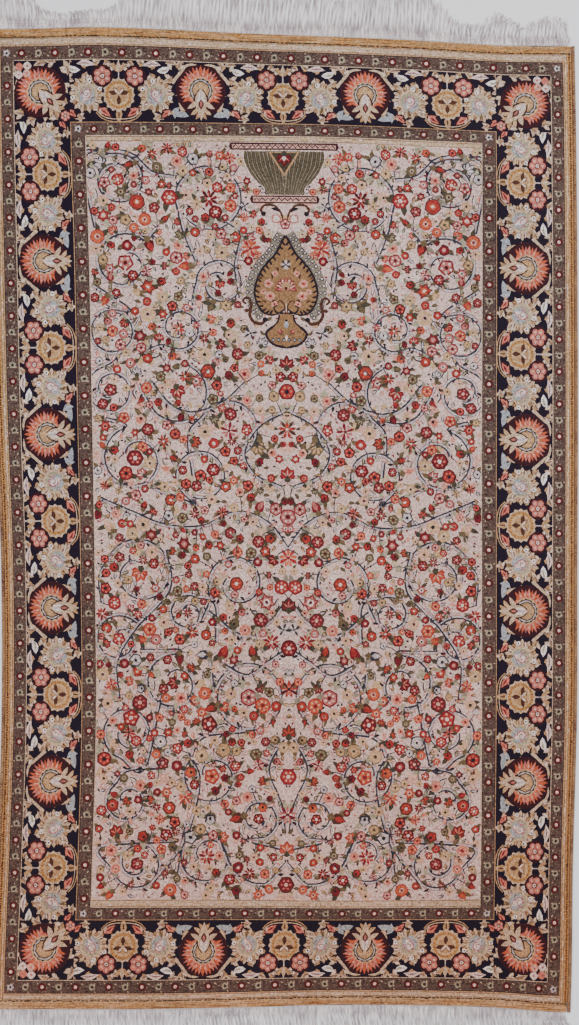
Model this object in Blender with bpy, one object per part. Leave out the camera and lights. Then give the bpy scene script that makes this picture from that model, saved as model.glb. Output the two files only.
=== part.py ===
"""A silk prayer rug lying flat: one woven body with flat-woven ends, a selvedge along each
long side, and a knotted fringe at each end.

Sizes are in metres. +X is the rug's right side, +Y its top end and +Z up; it lies on z = 0,
with its origin under the middle of its bounding box.
"""
import math
import random
from collections import namedtuple

import bmesh
import bpy
from mathutils import Vector

COLLECTION_NAME = "silk_prayer_rug"

# Gap between separate pieces
GAP = 0.0003

# Heights above the floor
PILE_HEIGHT = 0.0036
KILIM_HEIGHT = 0.0017
SELVEDGE_HEIGHT = 0.0036

# Lengthwise sizes of the woven body
RUG_LENGTH = 1.34
KILIM_DEPTH = 0.0125
PILE_STEP = 0.0015

# The selvedge's width, and how much of its top edges is rounded off
SELVEDGE_WIDTH = 0.0055
SELVEDGE_ROUNDING = 0.0012
SMOOTH_ANGLE = math.radians(50)
BODY_INSET = SELVEDGE_WIDTH + GAP

# Cells of the woven body, across and along
BODY_COLUMNS = 14
BODY_ROWS = 28

# Where the long sides run: the left and right outer edges at each station along the rug
Side = namedtuple("Side", "along left right")
SIDES = (
    Side(along=-0.690, left=-0.4119, right=0.3871),
    Side(along=-0.625, left=-0.4105, right=0.3892),
    Side(along=-0.473, left=-0.4043, right=0.3912),
    Side(along=-0.266, left=-0.3974, right=0.3968),
    Side(along=-0.059, left=-0.3981, right=0.3974),
    Side(along=0.148, left=-0.4064, right=0.3981),
    Side(along=0.355, left=-0.4112, right=0.3974),
    Side(along=0.562, left=-0.4147, right=0.3954),
    Side(along=0.670, left=-0.4165, right=0.3935),
)

# Where the ends run: the bottom and top edges of the flat-woven bands at each station across
End = namedtuple("End", "across bottom top")
ENDS = (
    End(across=-0.417, bottom=-0.6852, top=0.6665),
    End(across=-0.330, bottom=-0.6850, top=0.6672),
    End(across=-0.261, bottom=-0.6850, top=0.6693),
    End(across=-0.184, bottom=-0.6848, top=0.6672),
    End(across=-0.060, bottom=-0.6824, top=0.6610),
    End(across=0.064, bottom=-0.6790, top=0.6562),
    End(across=0.188, bottom=-0.6797, top=0.6506),
    End(across=0.299, bottom=-0.6830, top=0.6438),
    End(across=0.373, bottom=-0.6885, top=0.6431),
    End(across=0.399, bottom=-0.6895, top=0.6425),
)

# Fringe: a strip of knots parted from the cloth's edge, and the locks that grow out of it
LOCKS = 112
STRIP_DEPTH = 0.009
STRIP_HEIGHT = 0.0024
STRIP_SIDE_INSET = 0.0015
LOCK_ROOT_SHARE = 0.56
LOCK_JITTER = 0.0006
LOCK_LENGTH_JITTER = 0.0022

# A lock's cross sections from its root to its tip, as shares of its length, root width and
# full sway, with its height above the floor
Section = namedtuple("Section", "reach width sway height")
LOCK_SECTIONS = (
    Section(reach=0.34, width=1.10, sway=0.22, height=0.0019),
    Section(reach=0.70, width=1.02, sway=0.62, height=0.0015),
    Section(reach=1.00, width=0.45, sway=1.00, height=0.0010),
)

# How long the fringes are beyond their strips, and how far their tips sway to the right
Fringe = namedtuple("Fringe", "across length sway")
TOP_FRINGE = (
    Fringe(across=-0.417, length=0.048, sway=-0.007),
    Fringe(across=-0.345, length=0.044, sway=-0.005),
    Fringe(across=-0.314, length=0.020, sway=-0.004),
    Fringe(across=-0.261, length=0.017, sway=-0.004),
    Fringe(across=-0.232, length=0.022, sway=-0.003),
    Fringe(across=-0.205, length=0.043, sway=0.001),
    Fringe(across=-0.060, length=0.052, sway=0.004),
    Fringe(across=0.100, length=0.055, sway=0.006),
    Fringe(across=0.205, length=0.052, sway=0.003),
    Fringe(across=0.228, length=0.028, sway=0.002),
    Fringe(across=0.256, length=0.022, sway=0.004),
    Fringe(across=0.285, length=0.038, sway=0.007),
    Fringe(across=0.325, length=0.021, sway=0.005),
    Fringe(across=0.360, length=0.033, sway=0.004),
    Fringe(across=0.399, length=0.024, sway=0.003),
)
BOTTOM_FRINGE = (
    Fringe(across=-0.417, length=0.046, sway=0.006),
    Fringe(across=-0.180, length=0.044, sway=0.008),
    Fringe(across=-0.085, length=0.036, sway=0.006),
    Fringe(across=-0.050, length=0.020, sway=0.003),
    Fringe(across=-0.010, length=0.038, sway=0.006),
    Fringe(across=0.030, length=0.040, sway=0.007),
    Fringe(across=0.060, length=0.024, sway=0.008),
    Fringe(across=0.110, length=0.040, sway=0.009),
    Fringe(across=0.290, length=0.042, sway=0.011),
    Fringe(across=0.330, length=0.020, sway=0.006),
    Fringe(across=0.399, length=0.016, sway=0.003),
)

# Finishes: colour in linear light, roughness
Finish = namedtuple("Finish", "color roughness")
SILK_PILE = Finish(color=(0.42, 0.30, 0.25), roughness=0.55)
SELVEDGE_SILK = Finish(color=(0.46, 0.23, 0.07), roughness=0.6)
FRINGE_SILK = Finish(color=(0.66, 0.60, 0.60), roughness=0.65)


def blend(low, high, share):
    """Value between two others at a share of the way."""
    return low + (high - low) * share


def smooth_value(stations, at, column):
    """Reads a column of a station table at a place, on a smooth curve through its rows."""
    places = [row[0] for row in stations]
    values = [getattr(row, column) for row in stations]
    last = len(stations) - 1
    at = min(max(at, places[0]), places[last])
    index = max(i for i in range(last) if places[i] <= at)

    def slope(i):
        before, after = max(i - 1, 0), min(i + 1, last)
        return (values[after] - values[before]) / (places[after] - places[before])

    span = places[index + 1] - places[index]
    t = (at - places[index]) / span
    return (
        (2 * t**3 - 3 * t**2 + 1) * values[index]
        + (t**3 - 2 * t**2 + t) * span * slope(index)
        + (3 * t**2 - 2 * t**3) * values[index + 1]
        + (t**3 - t**2) * span * slope(index + 1)
    )


def rug_point(share, reach, left_inset, right_inset):
    """Point at a share of the width between two insets from the sides, and of the length."""
    y = (reach - 0.5) * RUG_LENGTH
    for _ in range(3):
        left = smooth_value(SIDES, y, "left") + left_inset
        right = smooth_value(SIDES, y, "right") - right_inset
        x = blend(left, right, share)
        y = blend(smooth_value(ENDS, x, "bottom"), smooth_value(ENDS, x, "top"), reach)
    return x, y


def end_edge(at_top):
    """Corners of the woven body's end edge, from left to right."""
    reach = 1.0 if at_top else 0.0
    shares = [column / BODY_COLUMNS for column in range(BODY_COLUMNS + 1)]
    return [rug_point(share, reach, BODY_INSET, BODY_INSET) for share in shares]


def edge_height(corners, x):
    """Where a row of corners, joined by straight lines, runs at a place across the rug."""
    for (x0, y0), (x1, y1) in zip(corners, corners[1:]):
        if x <= x1:
            break
    return blend(y0, y1, (x - x0) / (x1 - x0))


def make_material(name, finish):
    """Principled material of a finish."""
    material = bpy.data.materials.new(name)
    material.use_nodes = True
    shader = material.node_tree.nodes["Principled BSDF"]
    shader.inputs["Base Color"].default_value = (*finish.color, 1.0)
    shader.inputs["Roughness"].default_value = finish.roughness
    shader.inputs["Metallic"].default_value = 0.0
    return material


def make_object(name, mesh, material, collection):
    """Object made from a finished bmesh, with its own material."""
    bmesh.ops.recalc_face_normals(mesh, faces=mesh.faces[:])
    data = bpy.data.meshes.new(name)
    mesh.to_mesh(data)
    mesh.free()
    data.materials.append(material)
    piece = bpy.data.objects.new(name, data)
    collection.objects.link(piece)
    return piece


def raise_sheet(mesh):
    """Thickens a flat grid upwards and returns the points of its raised face."""
    result = bmesh.ops.extrude_face_region(mesh, geom=mesh.faces[:])
    return [item for item in result["geom"] if isinstance(item, bmesh.types.BMVert)]


def length_shares():
    """Shares of the length at the body's grid rows, with a close pair at each pile step."""
    kilim = KILIM_DEPTH / RUG_LENGTH
    step = (KILIM_DEPTH + PILE_STEP) / RUG_LENGTH
    pile_rows = BODY_ROWS - 4
    pile = [blend(step, 1 - step, row / pile_rows) for row in range(pile_rows + 1)]
    return [0.0, kilim, *pile, 1 - kilim, 1.0]


def make_body(collection):
    """The woven rug: its pile, stepped down to the flat-woven band at each end."""
    mesh = bmesh.new()
    bmesh.ops.create_grid(mesh, x_segments=BODY_COLUMNS, y_segments=BODY_ROWS, size=0.5)
    shares = length_shares()
    kilim_places = set()
    for point in mesh.verts:
        row = round((point.co.y + 0.5) * BODY_ROWS)
        x, y = rug_point(point.co.x + 0.5, shares[row], BODY_INSET, BODY_INSET)
        point.co = (x, y, 0.0)
        if row <= 1 or row >= BODY_ROWS - 1:
            kilim_places.add(point.co.xy.to_tuple())
    for point in raise_sheet(mesh):
        on_kilim = point.co.xy.to_tuple() in kilim_places
        point.co.z = KILIM_HEIGHT if on_kilim else PILE_HEIGHT
    return make_object("rug_body", mesh, make_material("silk_pile", SILK_PILE), collection)


def make_selvedge(name, on_left, collection):
    """The overcast edge of one long side, a flat-bottomed cord with a rounded top."""
    mesh = bmesh.new()
    bmesh.ops.create_grid(mesh, x_segments=1, y_segments=BODY_ROWS, size=0.5)
    shares = length_shares()
    for point in mesh.verts:
        across = (point.co.x + 0.5) * SELVEDGE_WIDTH
        reach = shares[round((point.co.y + 0.5) * BODY_ROWS)]
        if on_left:
            x, y = rug_point(0.0, reach, across, 0.0)
        else:
            x, y = rug_point(1.0, reach, 0.0, SELVEDGE_WIDTH - across)
        point.co = (x, y, 0.0)
    for point in raise_sheet(mesh):
        point.co.z = SELVEDGE_HEIGHT
    bmesh.ops.recalc_face_normals(mesh, faces=mesh.faces[:])
    top_edges = [
        edge for edge in mesh.edges
        if min(end.co.z for end in edge.verts) > 0.0
        and any(face.normal.z < 0.5 for face in edge.link_faces)
    ]
    bmesh.ops.bevel(
        mesh, geom=top_edges, offset=SELVEDGE_ROUNDING, segments=2, profile=0.5,
        affect="EDGES", clamp_overlap=True,
    )
    cord = make_object(name, mesh, make_material(name + "_silk", SELVEDGE_SILK), collection)
    cord.data.shade_smooth()
    cord.data.set_sharp_from_angle(angle=SMOOTH_ANGLE)
    return cord


def make_fringe(name, at_top, table, seed, collection):
    """The knotted strip of one end, with its locks drawn out of the strip's outer side."""
    draw = random.Random(seed)
    outward = 1.0 if at_top else -1.0
    columns = 2 * LOCKS + 1
    gap_share = 1.0 - LOCK_ROOT_SHARE

    def column_share(column):
        """Share of the strip's width at a grid line: gaps and roots take turns."""
        whole, half = divmod(column, 2)
        return (whole + half * gap_share) / (LOCKS + gap_share)

    mesh = bmesh.new()
    bmesh.ops.create_grid(mesh, x_segments=columns, y_segments=1, size=0.5)
    corners = end_edge(at_top)
    left = corners[0][0] + STRIP_SIDE_INSET
    right = corners[-1][0] - STRIP_SIDE_INSET
    for point in mesh.verts:
        x = blend(left, right, column_share(round((point.co.x + 0.5) * columns)))
        away = GAP if point.co.y * outward < 0.0 else GAP + STRIP_DEPTH
        point.co = (x, edge_height(corners, x) + outward * away, 0.0)
    for point in raise_sheet(mesh):
        point.co.z = STRIP_HEIGHT
    bmesh.ops.recalc_face_normals(mesh, faces=mesh.faces[:])

    outer_side = [face for face in mesh.faces if face.normal.y * outward > 0.9]
    outer_side.sort(key=lambda face: face.calc_center_median().x)
    roots = outer_side[1::2]
    locks = []
    for root in roots:
        middle = root.calc_center_median()
        width = max(point.co.x for point in root.verts) - min(point.co.x for point in root.verts)
        length = smooth_value(table, middle.x, "length")
        length += draw.uniform(-1.0, 1.0) * LOCK_LENGTH_JITTER
        sway = smooth_value(table, middle.x, "sway")
        sway += draw.uniform(-1.0, 1.0) * LOCK_JITTER
        locks.append((root, middle.copy(), width, length, sway))

    for section in LOCK_SECTIONS:
        grown = []
        for face, middle, width, length, sway in locks:
            face = bmesh.ops.extrude_discrete_faces(mesh, faces=[face])["faces"][0]
            center_x = face.calc_center_median().x
            for point in face.verts:
                side = math.copysign(0.5, point.co.x - center_x)
                point.co.x = middle.x + side * width * section.width + sway * section.sway
                point.co.y = middle.y + outward * length * section.reach
                point.co.z = section.height if point.co.z > 0.0 else 0.0
            grown.append((face, middle, width, length, sway))
        locks = grown
    return make_object(name, mesh, make_material(name + "_silk", FRINGE_SILK), collection)


def stand_on_origin(pieces):
    """Moves all the pieces together so that the origin is under the middle of their box."""
    points = [point.co for piece in pieces for point in piece.data.vertices]
    low = Vector(min(point[axis] for point in points) for axis in range(3))
    high = Vector(max(point[axis] for point in points) for axis in range(3))
    middle = (low + high) / 2
    for piece in pieces:
        piece.location = (-middle.x, -middle.y, -low.z)


def main():
    """Clears the scene and makes the rug's pieces."""
    for item in list(bpy.data.objects):
        bpy.data.objects.remove(item)
    collection = bpy.data.collections.new(COLLECTION_NAME)
    bpy.context.scene.collection.children.link(collection)
    pieces = [
        make_body(collection),
        make_selvedge("selvedge_left", True, collection),
        make_selvedge("selvedge_right", False, collection),
        make_fringe("fringe_top", True, TOP_FRINGE, 7, collection),
        make_fringe("fringe_bottom", False, BOTTOM_FRINGE, 11, collection),
    ]
    stand_on_origin(pieces)


main()
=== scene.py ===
"""Looks of a silk prayer rug that lies flat on a pale floor.

The knotted design is drawn as flat motifs in the rug's own plan, in millimetres, and each zone of
the pile becomes one mosaic mesh whose faces carry the colour of the silk that shows there. A plan
of the cloth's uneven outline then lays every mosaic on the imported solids.
"""

import logging
import math
from dataclasses import dataclass, field
from enum import Enum
from typing import Callable, NamedTuple, Sequence

import bpy
import numpy as np
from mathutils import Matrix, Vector
from mathutils.geometry import delaunay_2d_cdt


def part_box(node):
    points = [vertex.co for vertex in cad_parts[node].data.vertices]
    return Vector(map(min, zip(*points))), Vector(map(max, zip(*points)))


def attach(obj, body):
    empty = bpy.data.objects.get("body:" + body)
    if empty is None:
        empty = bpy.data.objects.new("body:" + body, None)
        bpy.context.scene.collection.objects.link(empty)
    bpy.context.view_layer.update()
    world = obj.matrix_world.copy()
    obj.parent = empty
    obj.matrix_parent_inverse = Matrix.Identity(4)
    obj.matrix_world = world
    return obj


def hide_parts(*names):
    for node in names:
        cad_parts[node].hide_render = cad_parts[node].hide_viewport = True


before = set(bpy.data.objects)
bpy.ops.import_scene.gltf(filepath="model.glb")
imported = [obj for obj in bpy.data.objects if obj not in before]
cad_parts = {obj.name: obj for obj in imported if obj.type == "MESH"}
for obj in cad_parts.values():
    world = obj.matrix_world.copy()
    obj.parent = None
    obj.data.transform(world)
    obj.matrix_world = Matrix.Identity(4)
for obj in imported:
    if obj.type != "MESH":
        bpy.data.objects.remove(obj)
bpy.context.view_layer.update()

MM = 0.001
EDGE_STEP = 14.0
"""How far apart points stand on a zone's straight edges, so that they can follow the cloth."""
log = logging.getLogger("prayer_rug")

Points = np.ndarray
"""Plan points, one row each, in millimetres."""


class Silk(Enum):
    """Dyed silks of the pile, as the sRGB colours they show in daylight."""

    IVORY = (224, 190, 182)
    SHELL = (232, 208, 200)
    BLUSH = (222, 168, 150)
    ROSE = (188, 108, 102)
    MAUVE = (152, 104, 108)
    SALMON = (208, 120, 102)
    ORANGE = (194, 92, 62)
    SCARLET = (164, 50, 46)
    CRIMSON = (122, 26, 38)
    OXBLOOD = (84, 20, 24)
    MAROON = (54, 16, 26)
    NAVY = (24, 8, 32)
    INK = (34, 24, 34)
    SLATE = (50, 48, 60)
    MIST = (196, 182, 184)
    SKY = (166, 168, 174)
    SAGE = (172, 160, 134)
    OLIVE = (108, 88, 62)
    MOSS = (72, 64, 50)
    ASH = (140, 128, 112)
    WHEAT = (206, 168, 128)
    CREAM = (206, 176, 148)
    SAND = (186, 144, 104)
    GOLD = (186, 132, 76)
    BRONZE = (122, 78, 44)
    UMBER = (152, 112, 76)
    BROWN = (78, 44, 34)
    TAUPE = (92, 70, 64)
    STONE = (136, 106, 94)
    WHITE = (246, 236, 234)
    # PEARL is partly the fringe's own mauve-grey silk and partly painted shade of the gaps between its strands.
    PEARL = (166, 148, 154)

    @property
    def linear(self) -> tuple[float, float, float]:
        """The colour in linear light."""
        return tuple(linear_light(part) for part in self.value)


def linear_light(part: float) -> float:
    """One sRGB part, from 0 to 255, in linear light."""
    share = part / 255
    return share / 12.92 if share <= 0.04045 else ((share + 0.055) / 1.055) ** 2.4


SILKS: list[Silk] = list(Silk)
SILK_COLOURS = np.array([(*silk.linear, 1.0) for silk in SILKS], dtype=np.float32)


def turned(points: Points, degrees: float) -> Points:
    """Points turned about the origin, anticlockwise."""
    angle = math.radians(degrees)
    c, s = math.cos(angle), math.sin(angle)
    return points @ np.array([[c, s], [-s, c]])


def signed_area(points: Points) -> float:
    """An outline's area, below zero where it runs clockwise."""
    x, y = points[:, 0], points[:, 1]
    return float(np.sum(x * np.roll(y, -1) - y * np.roll(x, -1)) / 2)


def perimeter(points: Points) -> float:
    """The length all round an outline."""
    return float(np.linalg.norm(points - np.roll(points, -1, axis=0), axis=1).sum())


def disc(radius: float, count: int = 10, stretch: float = 1.0) -> Points:
    """A round outline, stretched along y."""
    angle = np.linspace(0, math.tau, count, endpoint=False)
    return np.column_stack([radius * np.cos(angle), radius * stretch * np.sin(angle)])


def lobes(radius: float, count: int, depth: float, steps: int = 4, pointed: bool = False) -> Points:
    """A scalloped or starred outline.

    Args:
        radius: distance from the middle to the tips.
        count: how many lobes there are.
        depth: how far the notches cut in, as a share of the radius.
        steps: points for each lobe.
        pointed: whether the lobes end in points.

    Returns:
        The outline's points.
    """
    angle = np.linspace(0, math.tau, count * steps, endpoint=False)
    wave = np.abs(np.cos(count * angle / 2))
    if pointed:
        wave = np.abs(1 - np.mod(count * angle / math.pi, 2))
    reach = radius * (1 - depth * (1 - wave))
    return np.column_stack([reach * np.cos(angle), reach * np.sin(angle)])


def leaf(length: float, width: float, bend: float = 0.0, steps: int = 5, fullness: float = 1.0) -> Points:
    """A leaf or petal that grows from the origin along +y.

    Args:
        length: from root to tip.
        width: across its widest place.
        bend: how far its middle leans to +x.
        steps: points along each edge.
        fullness: above 1 it is widest near the tip, below 1 near the root.

    Returns:
        The outline's points.
    """
    along = np.linspace(0, 1, steps + 1)
    half = width / 2 * np.sin(math.pi * along**fullness)
    spine = bend * np.sin(math.pi * along)
    right = np.column_stack([spine + half, along * length])
    left = np.column_stack([spine - half, along * length])[1:-1]
    return np.vstack([right, left[::-1]])


def rectangle(x0: float, y0: float, x1: float, y1: float, step: float = math.inf) -> Points:
    """A rectangle's outline, with extra points at most a step apart."""
    rounds = max(1, math.ceil((x1 - x0) / step)), max(1, math.ceil((y1 - y0) / step))
    across, along = (np.linspace(0, 1, count, endpoint=False)[:, None] for count in rounds)
    corners = np.array([(x0, y0), (x1, y0), (x1, y1), (x0, y1)], dtype=float)
    sides = [a + (b - a) * share for a, b, share in zip(corners, np.roll(corners, -1, axis=0), (across, along) * 2)]
    return np.vstack(sides)


def smooth_path(points: Sequence[tuple[float, float]], steps: int = 5) -> Points:
    """A smooth curve through given points."""
    knots = np.array(points, dtype=float)
    knots = np.vstack([2 * knots[0] - knots[1], knots, 2 * knots[-1] - knots[-2]])
    share = np.linspace(0, 1, steps, endpoint=False)[:, None]
    parts = []
    for a, b, c, d in zip(knots, knots[1:], knots[2:], knots[3:]):
        parts.append(0.5 * (
            2 * b + (c - a) * share + (2 * a - 5 * b + 4 * c - d) * share**2
            + (3 * b - a - 3 * c + d) * share**3
        ))
    return np.vstack([*parts, knots[-2][None]])


def ribbon(path: Points, width: float, end_width: float | None = None, offset: float = 0.0) -> Points:
    """The outline of a stroke along a path.

    Args:
        path: the stroke's middle line.
        width: its width at the start.
        end_width: its width at the end, or None where it stays the same.
        offset: how far it lies to the left of the path.

    Returns:
        The outline's points.
    """
    end_width = width if end_width is None else end_width
    run = np.gradient(path, axis=0)
    run /= np.maximum(np.linalg.norm(run, axis=1, keepdims=True), 1e-9)
    side = np.column_stack([-run[:, 1], run[:, 0]])
    half = np.linspace(width, end_width, len(path))[:, None] / 2
    middle = path + side * offset
    return np.vstack([middle + side * half, (middle - side * half)[::-1]])


def spiral(centre: tuple[float, float], radius: float, inner: float, start: float, turns: float) -> Points:
    """A path that winds inwards round a centre, anticlockwise where turns is positive."""
    share = np.linspace(0, 1, max(8, round(abs(turns) * 26)))
    angle = math.radians(start) + share * turns * math.tau
    reach = radius + (inner - radius) * share**1.6
    return np.column_stack([centre[0] + reach * np.cos(angle), centre[1] + reach * np.sin(angle)])


@dataclass
class Motif:
    """Coloured shapes laid over each other, the last on top."""

    shapes: list[tuple[Points, Silk]] = field(default_factory=list)

    def add(self, points: Points, silk: Silk, at: tuple[float, float] = (0.0, 0.0), turn: float = 0.0) -> "Motif":
        """Lays one shape on top, turned and then moved."""
        self.shapes.append((turned(points, turn) + np.array(at), silk))
        return self

    def stroke(
        self, path: Points, silk: Silk, width: float, end_width: float | None = None, offset: float = 0.0,
    ) -> "Motif":
        """Lays a stroke along a path, in short lengths that overlap, so that none of them crosses itself."""
        widths = np.linspace(width, width if end_width is None else end_width, len(path))
        for first in range(0, len(path) - 1, 3):
            last = min(first + 4, len(path) - 1)
            self.add(ribbon(path[first:last + 1], widths[first], widths[last], offset), silk)
        return self

    def stamp(
        self, other: "Motif", at: tuple[float, float] = (0.0, 0.0), turn: float = 0.0,
        size: float = 1.0, flip: bool = False,
    ) -> "Motif":
        """Lays another motif on top, flipped across y, sized, turned and moved in that order."""
        mirror = np.array([-size if flip else size, size])
        for points, silk in other.shapes:
            self.shapes.append((turned(points * mirror, turn) + np.array(at), silk))
        return self

    def both_sides(self) -> "Motif":
        """This motif with its mirror image across the y axis."""
        pair = Motif()
        for points, silk in self.shapes:
            pair.shapes.append((points, silk))
            pair.shapes.append((points * np.array([-1.0, 1.0]), silk))
        return pair


@dataclass
class Mosaic:
    """Flat triangles that each show one silk."""

    corners: Points
    faces: np.ndarray
    silks: np.ndarray

    @staticmethod
    def lay(
        width: tuple[float, float], height: tuple[float, float], ground: Silk, motif: Motif, unevenness: float = 0.2,
    ) -> "Mosaic":
        """Cuts a rectangle of ground along every outline of a motif.

        Args:
            width: the rectangle's left and right.
            height: the rectangle's bottom and top.
            ground: the silk where no shape lies.
            motif: the shapes, whatever lies outside the rectangle being cut off.
            unevenness: how far the knots stray from each outline.

        Returns:
            The mosaic, each triangle in the silk of its topmost shape.
        """
        draw = np.random.default_rng(11)
        (x0, x1), (y0, y1) = width, height
        outlines = [rectangle(x0, y0, x1, y1, EDGE_STEP)]
        silks = [SILKS.index(ground)]
        for points, silk in motif.shapes:
            low, high = points.min(axis=0), points.max(axis=0)
            if high[0] > x0 and low[0] < x1 and high[1] > y0 and low[1] < y1:
                width_there = 2 * abs(signed_area(points)) / perimeter(points)
                points = points + draw.normal(0, min(unevenness, 0.14 * width_there), points.shape)
                outlines.append(points if signed_area(points) > 0 else points[::-1])
                silks.append(SILKS.index(silk))
        rings, first = [], 0
        for points in outlines:
            rings.append(list(range(first, first + len(points))))
            first += len(points)
        corners = [Vector(point) for point in np.vstack(outlines).tolist()]
        result = delaunay_2d_cdt(corners, [], rings, 1, 0.002, True)
        corners = np.array([tuple(point) for point in result[0]])
        lows, highs = np.array([ring.min(axis=0) for ring in outlines]), np.array([ring.max(axis=0) for ring in outlines])
        faces, shown = [], []
        for face, owners in zip(result[2], result[5]):
            if 0 not in owners:
                continue
            # A shape that crosses itself can claim places outside it, which its own box rules out
            middle = corners[list(face)].mean(axis=0)
            for owner in sorted(owners, reverse=True):
                if (lows[owner] < middle).all() and (middle < highs[owner]).all():
                    break
            faces.append(face)
            shown.append(silks[owner])
        return Mosaic(corners, np.array(faces), np.array(shown)).merged()

    def merged(self) -> "Mosaic":
        """The same picture in fewer triangles, without the outlines that are hidden under others."""
        count = len(self.corners)
        starts = self.faces.ravel()
        ends = np.roll(self.faces, -1, axis=1).ravel()
        silks = np.repeat(self.silks, 3)
        keys, opposite = starts * count + ends, ends * count + starts
        order = np.argsort(keys)
        at = np.minimum(np.searchsorted(keys[order], opposite), len(keys) - 1)
        across = np.where(keys[order][at] == opposite, silks[order][at], -1)
        keep = across != silks
        used, ids = np.unique(np.concatenate([starts[keep], ends[keep]]), return_inverse=True)
        lines = ids.reshape(2, -1).T
        left_silk = dict(zip(map(tuple, lines.tolist()), silks[keep].tolist()))
        corners = [Vector(point) for point in self.corners[used].tolist()]
        edges = np.unique(np.sort(lines, axis=1), axis=0).tolist()
        result = delaunay_2d_cdt(corners, edges, [], 0, 0.0005, True)
        points, faces = np.array([tuple(point) for point in result[0]]), result[2]
        first = [origin[0] if origin else -1 for origin in result[3]]
        fixed = {tuple(sorted(edge)) for edge, origin in zip(result[1], result[4]) if origin}
        shown, beside = [-1] * len(faces), {}
        for number, face in enumerate(faces):
            for a, b in zip(face, (*face[1:], face[0])):
                beside.setdefault((min(a, b), max(a, b)), []).append(number)
                silk = left_silk.get((first[a], first[b]))
                if silk is not None:
                    shown[number] = silk
        waiting = [number for number, silk in enumerate(shown) if silk >= 0]
        while waiting:
            number = waiting.pop()
            face = faces[number]
            for a, b in zip(face, (*face[1:], face[0])):
                edge = (min(a, b), max(a, b))
                for other in beside[edge] if edge not in fixed else ():
                    if shown[other] < 0:
                        shown[other] = shown[number]
                        waiting.append(other)
        made = Mosaic(points, np.array(faces), np.maximum(np.array(shown), 0))
        a, b, c = (points[made.faces[:, corner]] for corner in range(3))
        area = (b[:, 0] - a[:, 0]) * (c[:, 1] - a[:, 1]) - (b[:, 1] - a[:, 1]) * (c[:, 0] - a[:, 0])
        longest = np.maximum.reduce([np.hypot(*(q - p).T) for p, q in ((a, b), (b, c), (c, a))])
        return made.kept(np.abs(area) > 0.002 * longest)

    def mapped(self, move: Callable[[Points], Points]) -> "Mosaic":
        """The same mosaic with its corners moved."""
        return Mosaic(move(self.corners), self.faces, self.silks)

    def kept(self, keep: np.ndarray) -> "Mosaic":
        """Only the triangles that a true-or-false list keeps."""
        used, back = np.unique(self.faces[keep], return_inverse=True)
        return Mosaic(self.corners[used], back.reshape(-1, 3), self.silks[keep])

    @staticmethod
    def joined(parts: Sequence["Mosaic"]) -> "Mosaic":
        """Several mosaics as one."""
        first, faces = 0, []
        for part in parts:
            faces.append(part.faces + first)
            first += len(part.corners)
        return Mosaic(
            np.vstack([part.corners for part in parts]),
            np.vstack(faces),
            np.concatenate([part.silks for part in parts]),
        )


class SideStation(NamedTuple):
    """Where the long lines of the cloth run at a place along it."""

    along: float
    left: float
    field_left: float
    field_right: float
    right: float


class EndStation(NamedTuple):
    """Where the cross lines of the cloth run at a place across it."""

    across: float
    bottom: float
    field_bottom: float
    field_top: float
    top: float


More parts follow.
